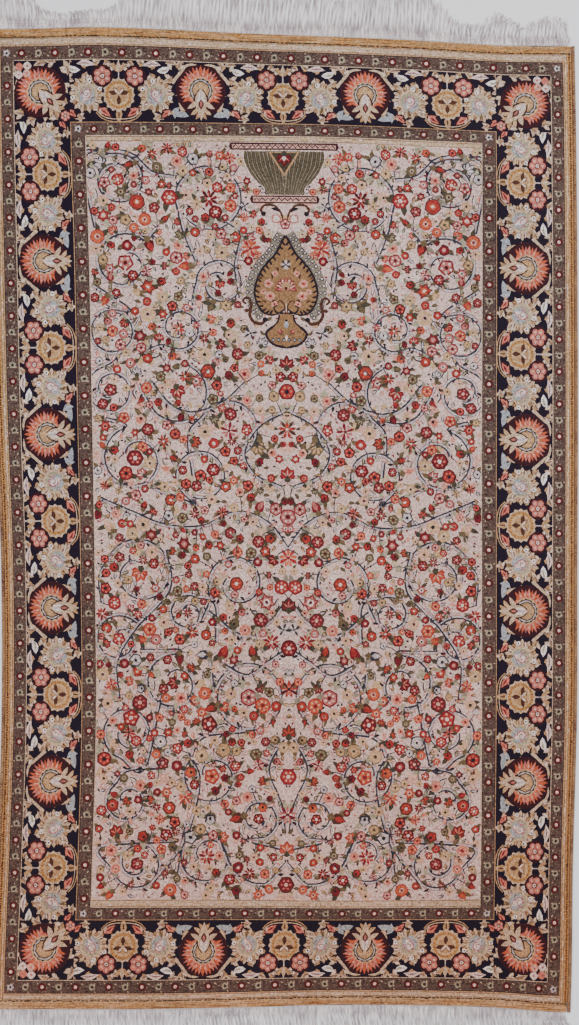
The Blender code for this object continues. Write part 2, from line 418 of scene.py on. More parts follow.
@dataclass(frozen=True)
class RugPlan:
    """The even plan that the design is drawn on, and the uneven cloth that it was woven as."""

    half_width: float = 400.0
    half_length: float = 670.0
    field_side: float = 267.2
    field_top: float = 518.0
    field_bottom: float = -521.0
    sides: tuple[SideStation, ...] = (
        SideStation(-690, -411.9, -278.5, 258.5, 387.1),
        SideStation(-625, -410.5, -276.7, 260.1, 389.2),
        SideStation(-473, -404.3, -271.2, 262.9, 391.2),
        SideStation(-266, -397.4, -265.7, 264.3, 396.8),
        SideStation(-59, -398.1, -267.7, 264.3, 397.4),
        SideStation(148, -406.4, -271.2, 264.3, 398.1),
        SideStation(355, -411.2, -275.3, 265.0, 397.4),
        SideStation(562, -414.7, -281.5, 264.3, 395.4),
        SideStation(670, -416.5, -283.0, 263.0, 393.5),
    )
    ends: tuple[EndStation, ...] = (
        EndStation(-417, -685.2, -533.4, 511.5, 666.5),
        EndStation(-330, -685.0, -533.4, 511.5, 667.2),
        EndStation(-261, -685.0, -533.4, 511.3, 669.3),
        EndStation(-184, -684.8, -533.4, 511.3, 667.2),
        EndStation(-60, -682.4, -533.4, 510.6, 661.0),
        EndStation(64, -679.0, -534.8, 509.2, 656.2),
        EndStation(188, -679.7, -534.0, 504.4, 650.6),
        EndStation(299, -683.0, -533.4, 500.0, 643.8),
        EndStation(373, -688.5, -534.0, 498.5, 643.1),
        EndStation(399, -689.5, -534.0, 498.0, 642.5),
    )

    def place(self, points: Points) -> Points:
        """Lays plan points on the cloth.

        Args:
            points: plan points, with the origin in the rug's middle.

        Returns:
            Their places on the cloth as seen from above, in metres, in the frame of the solids.
        """
        shift = self._shift()
        return (self._on_cloth(points) + shift) * MM

    def _on_cloth(self, points: Points) -> Points:
        """Plan points on the cloth, in millimetres from the picture's middle."""
        x, y = points[:, 0], points[:, 1]
        w, f = self.half_width, self.field_side
        h, t, b = self.half_length, self.field_top, self.field_bottom
        left = station_curve(self.sides, "left", y)
        inner_left = station_curve(self.sides, "field_left", y)
        inner_right = station_curve(self.sides, "field_right", y)
        right = station_curve(self.sides, "right", y)
        across = np.where(
            x < -f, left + (x + w) * (inner_left - left) / (w - f),
            np.where(
                x > f, inner_right + (x - f) * (right - inner_right) / (w - f),
                inner_left + (x + f) * (inner_right - inner_left) / (2 * f),
            ),
        )
        bottom = station_curve(self.ends, "bottom", x)
        inner_bottom = station_curve(self.ends, "field_bottom", x)
        inner_top = station_curve(self.ends, "field_top", x)
        top = station_curve(self.ends, "top", x)
        along = np.where(
            y < b, bottom + (y + h) * (inner_bottom - bottom) / (h + b),
            np.where(
                y > t, inner_top + (y - t) * (top - inner_top) / (h - t),
                inner_bottom + (y - b) * (inner_top - inner_bottom) / (t - b),
            ),
        )
        return np.column_stack([across, along])

    def _shift(self) -> Points:
        """From the picture's middle to the frame's origin, read from the left selvedge's corner."""
        low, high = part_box("selvedge_left")
        corner = self._on_cloth(np.array([[-self.half_width, self.half_length]]))[0]
        return np.array([low[0] / MM, high[1] / MM]) - corner

    def picture_middle(self) -> Points:
        """The point of the frame that the picture is centred on, in metres."""
        return self._shift() * MM


def station_curve(stations: Sequence[NamedTuple], column: str, at: Points) -> Points:
    """Reads a column of a station table on a smooth curve through its rows."""
    places = np.array([row[0] for row in stations], dtype=float)
    values = np.array([getattr(row, column) for row in stations])
    slopes = np.gradient(values, places)
    at = np.clip(at, places[0], places[-1])
    low = np.clip(np.searchsorted(places, at, side="right") - 1, 0, len(places) - 2)
    span = places[low + 1] - places[low]
    t = (at - places[low]) / span
    return (
        (2 * t**3 - 3 * t**2 + 1) * values[low] + (t**3 - 2 * t**2 + t) * span * slopes[low]
        + (3 * t**2 - 2 * t**3) * values[low + 1] + (t**3 - t**2) * span * slopes[low + 1]
    )


@dataclass(frozen=True)
class Bands:
    """How far in from the rug's edge each band of a border starts."""

    edge: float
    cream: float
    guard: float
    border: float
    inner: float
    inner_cream: float
    field: float


SIDE_BANDS = Bands(edge=5.8, cream=11.2, guard=16.5, border=35.2, inner=111.8, inner_cream=132.8, field=132.8)
TOP_BANDS = Bands(edge=12.8, cream=14.0, guard=22.9, border=43.3, inner=125.8, inner_cream=144.3, field=152.0)
BOTTOM_BANDS = Bands(edge=12.8, cream=12.8, guard=20.7, border=40.0, inner=121.0, inner_cream=139.0, field=149.0)


@dataclass(frozen=True)
class PileFinish:
    """Knotted silk whose colour comes from the mosaic's faces."""

    roughness: float = 0.62
    sheen: float = 0.02
    knot_pitch: float = 1.7 * MM
    mottle: float = 1.2
    tufting: float = 1.5
    abrash: float = 0.5
    depth: float = 0.68
    bump: float = 0.6
    # Painted shade: the tint that darkens and warms the pile towards the lower end, standing in for the light falling
    # off there.
    painted_shade_tint: tuple[float, float, float] = (0.88, 0.72, 0.64)

    def material(self, name: str) -> bpy.types.Material:
        """Makes the pile's material.

        Args:
            name: the material's name.

        Returns:
            A Principled material that reads the mosaic's colours, varies them knot by knot and adds painted shade that
            darkens and warms them towards the lower end.
        """
        nodes = NodeSheet(name)
        place = nodes.add("ShaderNodeTexCoord").outputs["Object"]
        colour = nodes.add("ShaderNodeVertexColor", layer_name="silk").outputs["Color"]
        knots = nodes.noise(place, scale=1 / self.knot_pitch, detail=1.0)
        tufts = nodes.noise(place, scale=0.5 / self.knot_pitch, detail=1.0)
        washes = nodes.noise(place, scale=9.0, detail=3.0)
        value = nodes.add_up(
            nodes.spread(knots, self.mottle), nodes.spread(tufts, self.tufting),
            nodes.spread(washes, self.abrash), constant=1.0,
        )
        value = nodes.scaled(value, self.depth)
        # Painted shade: the colour darkens and warms towards the rug's lower end.
        shaded = nodes.painted_shade_gradient(nodes.tint(colour, value), place, self.painted_shade_tint, RugPlan.half_length * MM)
        nodes.finish(shaded, self.roughness, self.sheen)
        height = nodes.add_up(nodes.spread(knots, 1.0), nodes.spread(tufts, 0.8), constant=0.0)
        nodes.bump(height, self.bump, 0.6 * MM)
        return nodes.material


@dataclass(frozen=True)
class YarnFinish:
    """Plain silk yarn of one colour, streaked along or across its length."""

    silk: Silk
    second: Silk
    streak: tuple[float, float, float] = (600.0, 600.0, 600.0)
    roughness: float = 0.5
    sheen: float = 0.4
    bump: float = 0.4

    def material(self, name: str) -> bpy.types.Material:
        """Makes the yarn's material.

        Args:
            name: the material's name.

        Returns:
            A Principled material whose two colours mix in fine streaks.
        """
        nodes = NodeSheet(name)
        place = nodes.add("ShaderNodeTexCoord").outputs["Object"]
        mapping = nodes.add("ShaderNodeMapping")
        nodes.link(place, mapping.inputs["Vector"])
        mapping.inputs["Scale"].default_value = self.streak
        streaks = nodes.noise(mapping.outputs["Vector"], scale=1.0, detail=2.0)
        patches = nodes.noise(place, scale=30.0, detail=3.0)
        share = nodes.add_up(nodes.spread(streaks, 3.0), nodes.spread(patches, 1.6), constant=0.5)
        mix = nodes.add("ShaderNodeMix", data_type="RGBA", clamp_factor=True)
        nodes.link(share, mix.inputs["Factor"])
        mix.inputs["A"].default_value = (*self.silk.linear, 1.0)
        mix.inputs["B"].default_value = (*self.second.linear, 1.0)
        nodes.finish(mix.outputs["Result"], self.roughness, self.sheen)
        nodes.bump(nodes.spread(streaks, 1.0), self.bump, 0.3 * MM)
        return nodes.material


class NodeSheet:
    """A material's node tree with short ways to add what the silk finishes share."""

    def __init__(self, name: str) -> None:
        """Starts an empty material with a Principled shader."""
        self.material = bpy.data.materials.new(name)
        self.material.use_nodes = True
        self.tree = self.material.node_tree
        self.shader = self.tree.nodes["Principled BSDF"]

    def add(self, kind: str, **settings: object) -> bpy.types.Node:
        """Adds a node and sets its properties."""
        node = self.tree.nodes.new(kind)
        for key, value in settings.items():
            setattr(node, key, value)
        return node

    def link(self, source: bpy.types.NodeSocket, target: bpy.types.NodeSocket) -> None:
        """Joins two sockets."""
        self.tree.links.new(source, target)

    def noise(self, place: bpy.types.NodeSocket, scale: float, detail: float) -> bpy.types.NodeSocket:
        """Soft random values from 0 to 1."""
        node = self.add("ShaderNodeTexNoise")
        self.link(place, node.inputs["Vector"])
        node.inputs["Scale"].default_value = scale
        node.inputs["Detail"].default_value = detail
        return node.outputs["Fac"]

    def spread(self, value: bpy.types.NodeSocket, amount: float) -> bpy.types.NodeSocket:
        """A value from 0 to 1 turned into a change of about half the amount either way."""
        node = self.add("ShaderNodeMath", operation="MULTIPLY_ADD")
        self.link(value, node.inputs[0])
        node.inputs[1].default_value = amount
        node.inputs[2].default_value = -amount / 2
        return node.outputs[0]

    def scaled(self, value: bpy.types.NodeSocket, factor: float) -> bpy.types.NodeSocket:
        """A value times a constant, never below nought."""
        node = self.add("ShaderNodeMath", operation="MULTIPLY", use_clamp=True)
        self.link(value, node.inputs[0])
        node.inputs[1].default_value = factor
        return node.outputs[0]

    def add_up(self, *values: bpy.types.NodeSocket, constant: float) -> bpy.types.NodeSocket:
        """The sum of some values and a constant."""
        total = None
        for value in values:
            node = self.add("ShaderNodeMath", operation="ADD")
            self.link(value, node.inputs[0])
            if total is None:
                node.inputs[1].default_value = constant
            else:
                self.link(total, node.inputs[1])
            total = node.outputs[0]
        return total

    def tint(self, colour: bpy.types.NodeSocket, value: bpy.types.NodeSocket) -> bpy.types.NodeSocket:
        """A colour made lighter or darker by a value near 1."""
        node = self.add("ShaderNodeVectorMath", operation="SCALE")
        self.link(colour, node.inputs["Vector"])
        self.link(value, node.inputs["Scale"])
        return node.outputs["Vector"]

    def painted_shade_gradient(
        self, colour: bpy.types.NodeSocket, place: bpy.types.NodeSocket, tint: tuple[float, float, float], reach: float,
    ) -> bpy.types.NodeSocket:
        """A colour with painted shade: darker and warmer towards the rug's lower end, standing in for the light falling
        off there.
        """
        parts = self.add("ShaderNodeSeparateXYZ")
        self.link(place, parts.inputs["Vector"])
        share = self.add("ShaderNodeMapRange")
        self.link(parts.outputs["Y"], share.inputs["Value"])
        share.inputs["From Min"].default_value = reach * 0.3
        share.inputs["From Max"].default_value = -reach
        mix = self.add("ShaderNodeMix", data_type="RGBA", blend_type="MULTIPLY")
        self.link(share.outputs["Result"], mix.inputs["Factor"])
        self.link(colour, mix.inputs["A"])
        mix.inputs["B"].default_value = (*tint, 1.0)
        return mix.outputs["Result"]

    def finish(self, colour: bpy.types.NodeSocket, roughness: float, sheen: float) -> None:
        """Sets the shader's colour and the constants of silk."""
        self.link(colour, self.shader.inputs["Base Color"])
        self.shader.inputs["Roughness"].default_value = roughness
        self.shader.inputs["Sheen Weight"].default_value = sheen
        self.shader.inputs["Sheen Roughness"].default_value = 0.4
        self.shader.inputs["Specular IOR Level"].default_value = 0.12

    def bump(self, height: bpy.types.NodeSocket, strength: float, distance: float) -> None:
        """Adds fine relief to the shader."""
        node = self.add("ShaderNodeBump")
        self.link(height, node.inputs["Height"])
        node.inputs["Strength"].default_value = strength
        node.inputs["Distance"].default_value = distance
        self.link(node.outputs["Normal"], self.shader.inputs["Normal"])


class FlowerKind(Enum):
    """Ways in which the field's flowers are drawn."""

    ROSETTE = "rosette"
    FIVE_PETAL = "five petals"
    FAN = "fan"
    LILY = "lily"
    STAR = "star"
    BLOSSOM = "blossom"
    TULIP = "tulip"
    BUD = "bud"


class Dress(NamedTuple):
    """The silks of one flower, from its rim to its heart."""

    rim: Silk
    body: Silk
    ring: Silk
    heart: Silk


RED_DRESSES = (
    Dress(Silk.CRIMSON, Silk.SCARLET, Silk.BLUSH, Silk.SHELL),
    Dress(Silk.OXBLOOD, Silk.CRIMSON, Silk.SALMON, Silk.SHELL),
    Dress(Silk.CRIMSON, Silk.ROSE, Silk.SHELL, Silk.OXBLOOD),
    Dress(Silk.OXBLOOD, Silk.SCARLET, Silk.SALMON, Silk.INK),
    Dress(Silk.SCARLET, Silk.ORANGE, Silk.BLUSH, Silk.CRIMSON),
    Dress(Silk.BROWN, Silk.SCARLET, Silk.ORANGE, Silk.SHELL),
    Dress(Silk.BROWN, Silk.CRIMSON, Silk.ROSE, Silk.BLUSH),
)
PALE_DRESSES = (
    Dress(Silk.BLUSH, Silk.SALMON, Silk.BLUSH, Silk.CRIMSON),
    Dress(Silk.SAND, Silk.WHEAT, Silk.CREAM, Silk.BROWN),
    Dress(Silk.SLATE, Silk.MIST, Silk.SHELL, Silk.INK),
    Dress(Silk.WHEAT, Silk.BLUSH, Silk.WHEAT, Silk.BROWN),
    Dress(Silk.OLIVE, Silk.SAND, Silk.WHEAT, Silk.MOSS),
    Dress(Silk.MOSS, Silk.OLIVE, Silk.SAGE, Silk.OXBLOOD),
    Dress(Silk.BLUSH, Silk.WHEAT, Silk.BLUSH, Silk.INK),
)


@dataclass(frozen=True)
class Flower:
    """One flower, seen from its face or its side."""

    kind: FlowerKind
    radius: float
    dress: Dress

    def draw(self) -> Motif:
        """Draws the flower about the origin, its top along +y."""
        painter = {
            FlowerKind.ROSETTE: self._rosette,
            FlowerKind.FIVE_PETAL: self._five_petal,
            FlowerKind.FAN: self._fan,
            FlowerKind.LILY: self._lily,
            FlowerKind.STAR: self._star,
            FlowerKind.BLOSSOM: self._blossom,
            FlowerKind.TULIP: self._tulip,
            FlowerKind.BUD: self._bud,
        }[self.kind]
        return painter()

    def _rosette(self) -> Motif:
        """A full rosette with a ring of pale petal tips."""
        r, dress = self.radius, self.dress
        motif = Motif().add(lobes(r, 6, 0.14, 3), dress.rim).add(lobes(r * 0.83, 6, 0.18, 3), dress.body)
        for spot in range(6):
            angle = spot * math.tau / 6
            motif.add(disc(r * 0.16, 4), dress.ring, (r * 0.5 * math.cos(angle), r * 0.5 * math.sin(angle)))
        return motif.add(disc(r * 0.26, 6), dress.heart)

    def _five_petal(self) -> Motif:
        """Five round petals, each with a pale tip."""
        r, dress = self.radius, self.dress
        motif = Motif().add(lobes(r * 1.08, 5, 0.3, 3), dress.rim).add(lobes(r * 0.86, 5, 0.36, 3), dress.body)
        for petal in range(5):
            angle = math.radians(petal * 72)
            motif.add(disc(r * 0.19, 4), dress.ring, (r * 0.58 * math.cos(angle), r * 0.58 * math.sin(angle)))
        return motif.add(disc(r * 0.28, 6), dress.heart)

    def _fan(self) -> Motif:
        """A flower seen from its side: petals fanned out over a dark cup."""
        r, dress = self.radius, self.dress
        motif = Motif()
        for turn, long in ((78, 0.95), (-78, 0.95), (40, 1.2), (-40, 1.2), (0, 1.35)):
            motif.add(leaf(r * long, r * 0.7, 0, 3, 1.5), dress.rim, (0, -r * 0.3), turn)
            motif.add(leaf(r * long * 0.84, r * 0.4, 0, 3, 1.5), dress.body, (0, -r * 0.26), turn)
        for turn in (-50, 0, 50):
            motif.add(leaf(r * 0.85, r * 0.18, 0, 2), dress.ring, (0, -r * 0.2), turn)
        return motif.add(leaf(r * 0.9, r * 0.8, 0, 3, 0.7), Silk.MOSS, (0, -r * 0.95))

    def _lily(self) -> Motif:
        """Six pointed petals round a dotted heart."""
        r, dress = self.radius, self.dress
        motif = Motif().add(lobes(r * 1.12, 6, 0.5, 3, True), dress.rim)
        motif.add(lobes(r * 0.9, 6, 0.56, 3, True), dress.body).add(disc(r * 0.42, 7), dress.ring)
        return motif.add(disc(r * 0.22, 5), dress.heart)

    def _star(self) -> Motif:
        """Many narrow pointed petals, every other one paler."""
        r, dress = self.radius, self.dress
        motif = Motif()
        for petal in range(9):
            silk = dress.rim if petal % 2 else dress.body
            motif.add(leaf(r * (1.25 if petal % 2 else 1.1), r * 0.42, 0, 3, 1.3), silk, (0, 0), petal * 40)
        for petal in range(5):
            motif.add(leaf(r * 0.8, r * 0.14, 0, 2), dress.ring, (0, 0), petal * 72 + 20)
        return motif.add(disc(r * 0.2, 5), dress.heart)

    def _blossom(self) -> Motif:
        """A soft round blossom with a small dark eye."""
        r, dress = self.radius, self.dress
        return (
            Motif().add(lobes(r, 5, 0.14, 3), dress.rim).add(lobes(r * 0.86, 5, 0.18, 3), dress.body)
            .add(disc(r * 0.42, 6), dress.ring).add(disc(r * 0.22, 5), dress.heart)
        )

    def _tulip(self) -> Motif:
        """A half-open flower: red petals over olive leaves, with a dark eye."""
        r, dress = self.radius, self.dress
        motif = Motif().add(leaf(r * 1.3, r * 0.8, r * 0.2, 3), Silk.OLIVE, (0, -r * 0.9), 42)
        motif.add(leaf(r * 1.3, r * 0.8, -r * 0.2, 3), Silk.MOSS, (0, -r * 0.9), -42)
        motif.add(lobes(r * 0.84, 5, 0.22, 2), dress.rim, (0, r * 0.2), 90)
        return motif.add(lobes(r * 0.62, 5, 0.24, 2), dress.body, (0, r * 0.26), 90).add(
            disc(r * 0.24, 5), Silk.INK, (0, r * 0.05))

    def _bud(self) -> Motif:
        """A closed bud on its cup."""
        r, dress = self.radius, self.dress
        return (
            Motif().add(leaf(r * 2.2, r * 1.5, 0, 3, 0.8), dress.rim, (0, -r))
            .add(leaf(r * 1.5, r * 0.8, 0, 3, 0.8), dress.body, (0, -r * 0.4))
            .add(leaf(r * 1.1, r * 1.2, 0, 2), Silk.OLIVE, (0, -r * 1.4))
        )


class Scroll(NamedTuple):
    """A round scroll of the field's vine: its ring, where it starts and where its stem comes from."""

    x: float
    y: float
    radius: float
    start: float
    turns: float
    from_x: float
    from_y: float


@dataclass(frozen=True)
class Vine:
    """The two-toned stem of the field."""

    width: float = 5.6
    end_width: float = 3.8

    def draw(self, path: Points) -> Motif:
        """Draws the stem along a path: a pale band between a bold and a fine dark line."""
        return (
            Motif().stroke(path, Silk.MIST, self.width, self.end_width)
            .stroke(path, Silk.SLATE, 2.4, 1.9, self.width * 0.32)
            .stroke(path, Silk.MAUVE, 1.0, 0.8, -self.width * 0.42)
        )


@dataclass
class FieldDrawing:
    """The left half of the field: scrolling vines, blossoms, the niche's dome and its lamp."""

    plan: RugPlan
    seed: int = 5
    scrolls: tuple[Scroll, ...] = (
        Scroll(-226, 466, 34, 100, -1.35, -258, 400),
        Scroll(-103, 440, 44, 200, -0.95, -120, 350),
        Scroll(-219, 352, 42, 60, 1.05, -175, 400),
        Scroll(-90, 324, 31, 175, -1.30, -128, 268),
        Scroll(-238, 258, 31, 80, 1.00, -262, 320),
        Scroll(-147, 262, 30, 250, 1.20, -200, 225),
        Scroll(-242, 178, 34, 110, 1.45, -225, 232),
        Scroll(-150, 176, 44, 200, 0.62, -205, 190),
        Scroll(-210, 84, 45, 120, 1.10, -255, 140),
        Scroll(-80, 122, 40, 150, -0.60, -130, 60),
        Scroll(-120, 60, 33, 230, -0.95, -190, 45),
        Scroll(-206, -74, 47, 160, -1.15, -258, -115),
        Scroll(-72, -88, 38, 190, -1.10, -120, -140),
        Scroll(-140, -128, 26, 60, 1.25, -100, -170),
        Scroll(-236, -164, 34, 60, 1.15, -190, -120),
        Scroll(-160, -224, 40, 100, 1.10, -205, -180),
        Scroll(-56, -244, 46, 150, -1.00, -110, -185),
        Scroll(-222, -292, 35, 250, -1.20, -180, -250),
        Scroll(-106, -352, 40, 140, 1.10, -60, -290),
        Scroll(-222, -386, 30, 130, 1.15, -180, -340),
        Scroll(-206, -472, 35, 200, 1.35, -150, -440),
        Scroll(-110, -462, 38, 160, 1.10, -150, -500),
        Scroll(-40, -410, 28, 270, 1.20, -8, -450),
    )
    swags: tuple[tuple[tuple[float, float], ...], ...] = (
        ((-188, 190), (-160, 156), (-128, 146), (-88, 160), (-56, 188)),
        ((-2, 150), (-40, 128), (-60, 92), (-44, 60), (-6, 44)),
        ((-262, 30), (-216, 10), (-170, -8), (-120, -10), (-70, 10), (-28, -4), (0, -40)),
        ((-170, -42), (-166, -96), (-214, -150), (-240, -196), (-236, -250)),
        ((-112, -126), (-64, -160), (-26, -140), (0, -108)),
        ((-96, -196), (-60, -214), (-30, -196), (0, -176)),
        ((-140, -320), (-124, -360), (-142, -440), (-186, -500)),
        ((-8, -300), (-28, -342), (-10, -390), (-4, -430)),
        ((-96, -436), (-70, -486), (-30, -500), (0, -470)),
        ((-264, 500), (-240, 506), (-206, 500), (-180, 476), (-150, 470)),
        ((-62, 300), (-68, 350), (-60, 392), (-80, 410)),
    )

    def mosaic(self) -> Mosaic:
        """Draws the half field and cuts it into one mosaic."""
        self._draw = np.random.default_rng(self.seed)
        self._taken = np.array([
            (0, 340, 44), (-12, 318, 42), (0, 402, 14), (-14, 488, 34), (-38, 500, 16), (0, 455, 30),
            (0, 252, 30), (-22, 426, 16), (-46, 290, 14), (-64, 514, 9), (-40, 438, 8), (0, 380, 20),
        ], dtype=float)
        scrolls = [self._vine_path(scroll) for scroll in self.scrolls]
        vines = scrolls + [smooth_path(swag, 7) for swag in self.swags]
        self._vine_points = np.vstack(vines)
        motif = Motif()
        self._washes(motif)
        self._line_leaves(motif, vines)
        for path in vines:
            motif.stamp(Vine().draw(path))
        self._sprigs(motif, vines)
        self._hearts(motif)
        self._blossoms(motif)
        self._leaves(motif)
        motif.stamp(NicheDrawing(self.plan.field_top).draw())
        width = (-self.plan.field_side, 0.0)
        return Mosaic.lay(width, (self.plan.field_bottom, self.plan.field_top), Silk.IVORY, motif, 0.28)

    def _vine_path(self, scroll: Scroll) -> Points:
        """A scroll's stem, then its ring, wound inwards."""
        inner = 0.36 if abs(scroll.turns) > 1 else 0.9
        ring = spiral((scroll.x, scroll.y), scroll.radius, scroll.radius * inner, scroll.start, scroll.turns)
        run = ring[0] - ring[1]
        run = run / np.linalg.norm(run)
        reach = math.dist((scroll.from_x, scroll.from_y), ring[0]) * 0.5
        stem = smooth_path([(scroll.from_x, scroll.from_y), tuple(ring[0] + run * reach * 0.8), tuple(ring[0])], 6)
        return np.vstack([stem[:-1], ring])

    def _pick(self, choices: Sequence) -> object:
        """One of several things, drawn by lot."""
        return choices[self._draw.integers(len(choices))]

    def _washes(self, motif: Motif) -> None:
        """Lays the soft patches of peach, sage and paler ground under everything."""
        shades = (Silk.SHELL, Silk.BLUSH, Silk.WHEAT, Silk.SHELL, Silk.SAGE, Silk.CREAM, Silk.BLUSH)
        for _ in range(440):
            at = (self._draw.uniform(-267, 0), self._draw.uniform(-521, 518))
            blob = lobes(self._draw.uniform(5, 11), int(self._draw.integers(3, 6)), 0.4, 2)
            motif.add(blob, self._pick(shades), at, self._draw.uniform(0, 360))

    def _line_leaves(self, motif: Motif, vines: list[Points]) -> None:
        """Long pink and grey leaves, drawn in outline with a vein, that spring from the stems."""
        for path in vines:
            for number, index in enumerate(range(2, len(path) - 1, 5)):
                run = path[index + 1] - path[index - 1]
                heading = math.degrees(math.atan2(run[1], run[0])) - 90
                side = -1 if number % 2 else 1
                edge, vein = (Silk.ROSE, Silk.MAUVE) if number % 3 else (Silk.SLATE, Silk.STONE)
                at = tuple(path[index])
                motif.add(leaf(20, 8, 3.5 * side, 4), edge, at, heading - 38 * side)
                motif.add(leaf(18, 5.6, 3.4 * side, 4), Silk.SHELL, at, heading - 38 * side)
                motif.add(leaf(16, 1.2, 3.2 * side, 3), vein, at, heading - 38 * side)

    def _sprigs(self, motif: Motif, vines: list[Points]) -> None:
        """Grows small leaves and dark buds out of the stems."""
        for path in vines:
            for number, index in enumerate(range(3, len(path) - 2, 3)):
                run = path[index + 1] - path[index - 1]
                heading = math.degrees(math.atan2(run[1], run[0])) - 90
                side = 1 if number % 2 else -1
                at = tuple(path[index])
                if number % 4 == 1:
                    motif.add(leaf(9.0, 4.0, 1.4 * side, 3), Silk.INK, at, heading - 52 * side)
                elif number % 4 == 3:
                    motif.add(leaf(11.5, 5.4, 1.6 * side, 4), Silk.MOSS, at, heading - 58 * side)
                    motif.add(leaf(9.5, 2.2, 1.6 * side, 3), Silk.SAGE, at, heading - 58 * side)
                else:
                    motif.add(leaf(9.0, 3.0, 1.2 * side, 3), Silk.SLATE, at, heading - 46 * side)

    def _claim(self, x: float, y: float, radius: float, crowding: float) -> bool:
        """Takes a round place in the field if nothing else holds it."""
        away = np.hypot(self._taken[:, 0] - x, self._taken[:, 1] - y)
        if np.any(away < (self._taken[:, 2] + radius) * crowding):
            return False
        self._take(x, y, radius)
        return True

    def _take(self, x: float, y: float, radius: float) -> None:
        """Holds a round place in the field."""
        self._taken = np.vstack([self._taken, (x, y, radius)])

    def _hearts(self, motif: Motif) -> None:
        """Sets the large flowers: one at the heart of each scroll, and one row on the middle line."""
        kinds = (FlowerKind.ROSETTE, FlowerKind.STAR, FlowerKind.FIVE_PETAL, FlowerKind.FAN)
        for number, scroll in enumerate(self.scrolls):
            radius = scroll.radius * 0.27
            flower = Flower(kinds[number % 4], radius, RED_DRESSES[number % len(RED_DRESSES)])
            self._take(scroll.x, scroll.y, radius)
            motif.stamp(flower.draw(), (scroll.x, scroll.y), scroll.start)
        for number, y in enumerate((214, 176, 124, 62, 4, -52, -118, -176, -232, -292, -352, -404, -452, -500)):
            kind = (FlowerKind.FAN, FlowerKind.ROSETTE, FlowerKind.STAR)[number % 3]
            self._take(0, y, 12)
            motif.stamp(Flower(kind, 12, RED_DRESSES[(number * 2 + 1) % len(RED_DRESSES)]).draw(), (0, y))

    def _blossoms(self, motif: Motif) -> None:
        """Fills the field with flowers from large to small, each on a thin stalk from its vine."""
        kinds = tuple(FlowerKind)
        for radius, wanted, tries in ((10.5, 46, 1500), (8.8, 120, 3000), (7.4, 190, 4000), (5.8, 260, 6000)):
            placed = 0
            for _ in range(tries):
                if placed == wanted:
                    break
                x, y = float(self._draw.uniform(-263, -1)), float(self._draw.uniform(-516, 513))
                size = radius * float(self._draw.uniform(0.88, 1.12))
                away = np.hypot(*(self._vine_points - (x, y)).T)
                nearest = int(away.argmin())
                if away[nearest] < size * 0.8 or not self._claim(x, y, size, 0.88):
                    continue
                placed += 1
                red = self._draw.random() < 0.66
                kind = kinds[self._draw.choice(8, p=(0.27, 0.15, 0.08, 0.10, 0.06, 0.17, 0.12, 0.05))]
                root = self._vine_points[nearest]
                if size + 2 < away[nearest] < 30:
                    bend = float(self._draw.uniform(-3, 3))
                    middle = ((x + root[0]) / 2 + bend, (y + root[1]) / 2 - bend)
                    motif.add(ribbon(smooth_path([tuple(root), middle, (x, y)], 4), 1.5, 1.0), Silk.SLATE)
                turn = math.degrees(math.atan2(y - root[1], x - root[0])) - 90
                for lean in self._draw.uniform(0, 360, 2 if size > 7 else 1):
                    green = self._pick((Silk.OLIVE, Silk.MOSS, Silk.ASH, Silk.SAGE))
                    motif.add(leaf(size * 1.9, size * 0.8, size * 0.2, 3), green, (x, y), lean)
                flower = Flower(kind, size, self._pick(RED_DRESSES if red else PALE_DRESSES))
                motif.stamp(flower.draw(), (x, y), turn)

    def _leaves(self, motif: Motif) -> None:
        """Fills the gaps that are left with small leaves and dots."""
        faces = (
            (Silk.ROSE, Silk.SHELL), (Silk.MOSS, Silk.OLIVE), (Silk.SLATE, Silk.SAGE), (Silk.MAUVE, Silk.SHELL),
            (Silk.OLIVE, Silk.WHEAT), (Silk.SALMON, Silk.BLUSH), (Silk.BROWN, Silk.SAND), (Silk.SLATE, Silk.MIST),
        )
        for wanted, tries, size in ((420, 8000, 3.2), (620, 12000, 1.7)):
            placed = 0
            for _ in range(tries):
                if placed == wanted:
                    break
                x, y = float(self._draw.uniform(-265, -1)), float(self._draw.uniform(-518, 515))
                if not self._claim(x, y, size, 0.86):
                    continue
                placed += 1
                turn = float(self._draw.uniform(0, 360))
                if size < 2:
                    speck = self._pick((Silk.INK, Silk.CRIMSON, Silk.OLIVE, Silk.MAUVE, Silk.SALMON, Silk.SLATE))
                    motif.add(disc(1.5, 4, 1.8), speck, (x, y), turn)
                    continue
                length, bend = float(self._draw.uniform(8, 11.5)), float(self._draw.uniform(-1.8, 1.8))
                root = tuple((x, y) - turned(np.array([[0.0, length / 2]]), turn)[0])
                edge, inside = self._pick(faces)
                motif.add(leaf(length, 5.2, bend, 3), edge, root, turn)
                motif.add(leaf(length * 0.84, 2.8, bend, 3), inside, root, turn)


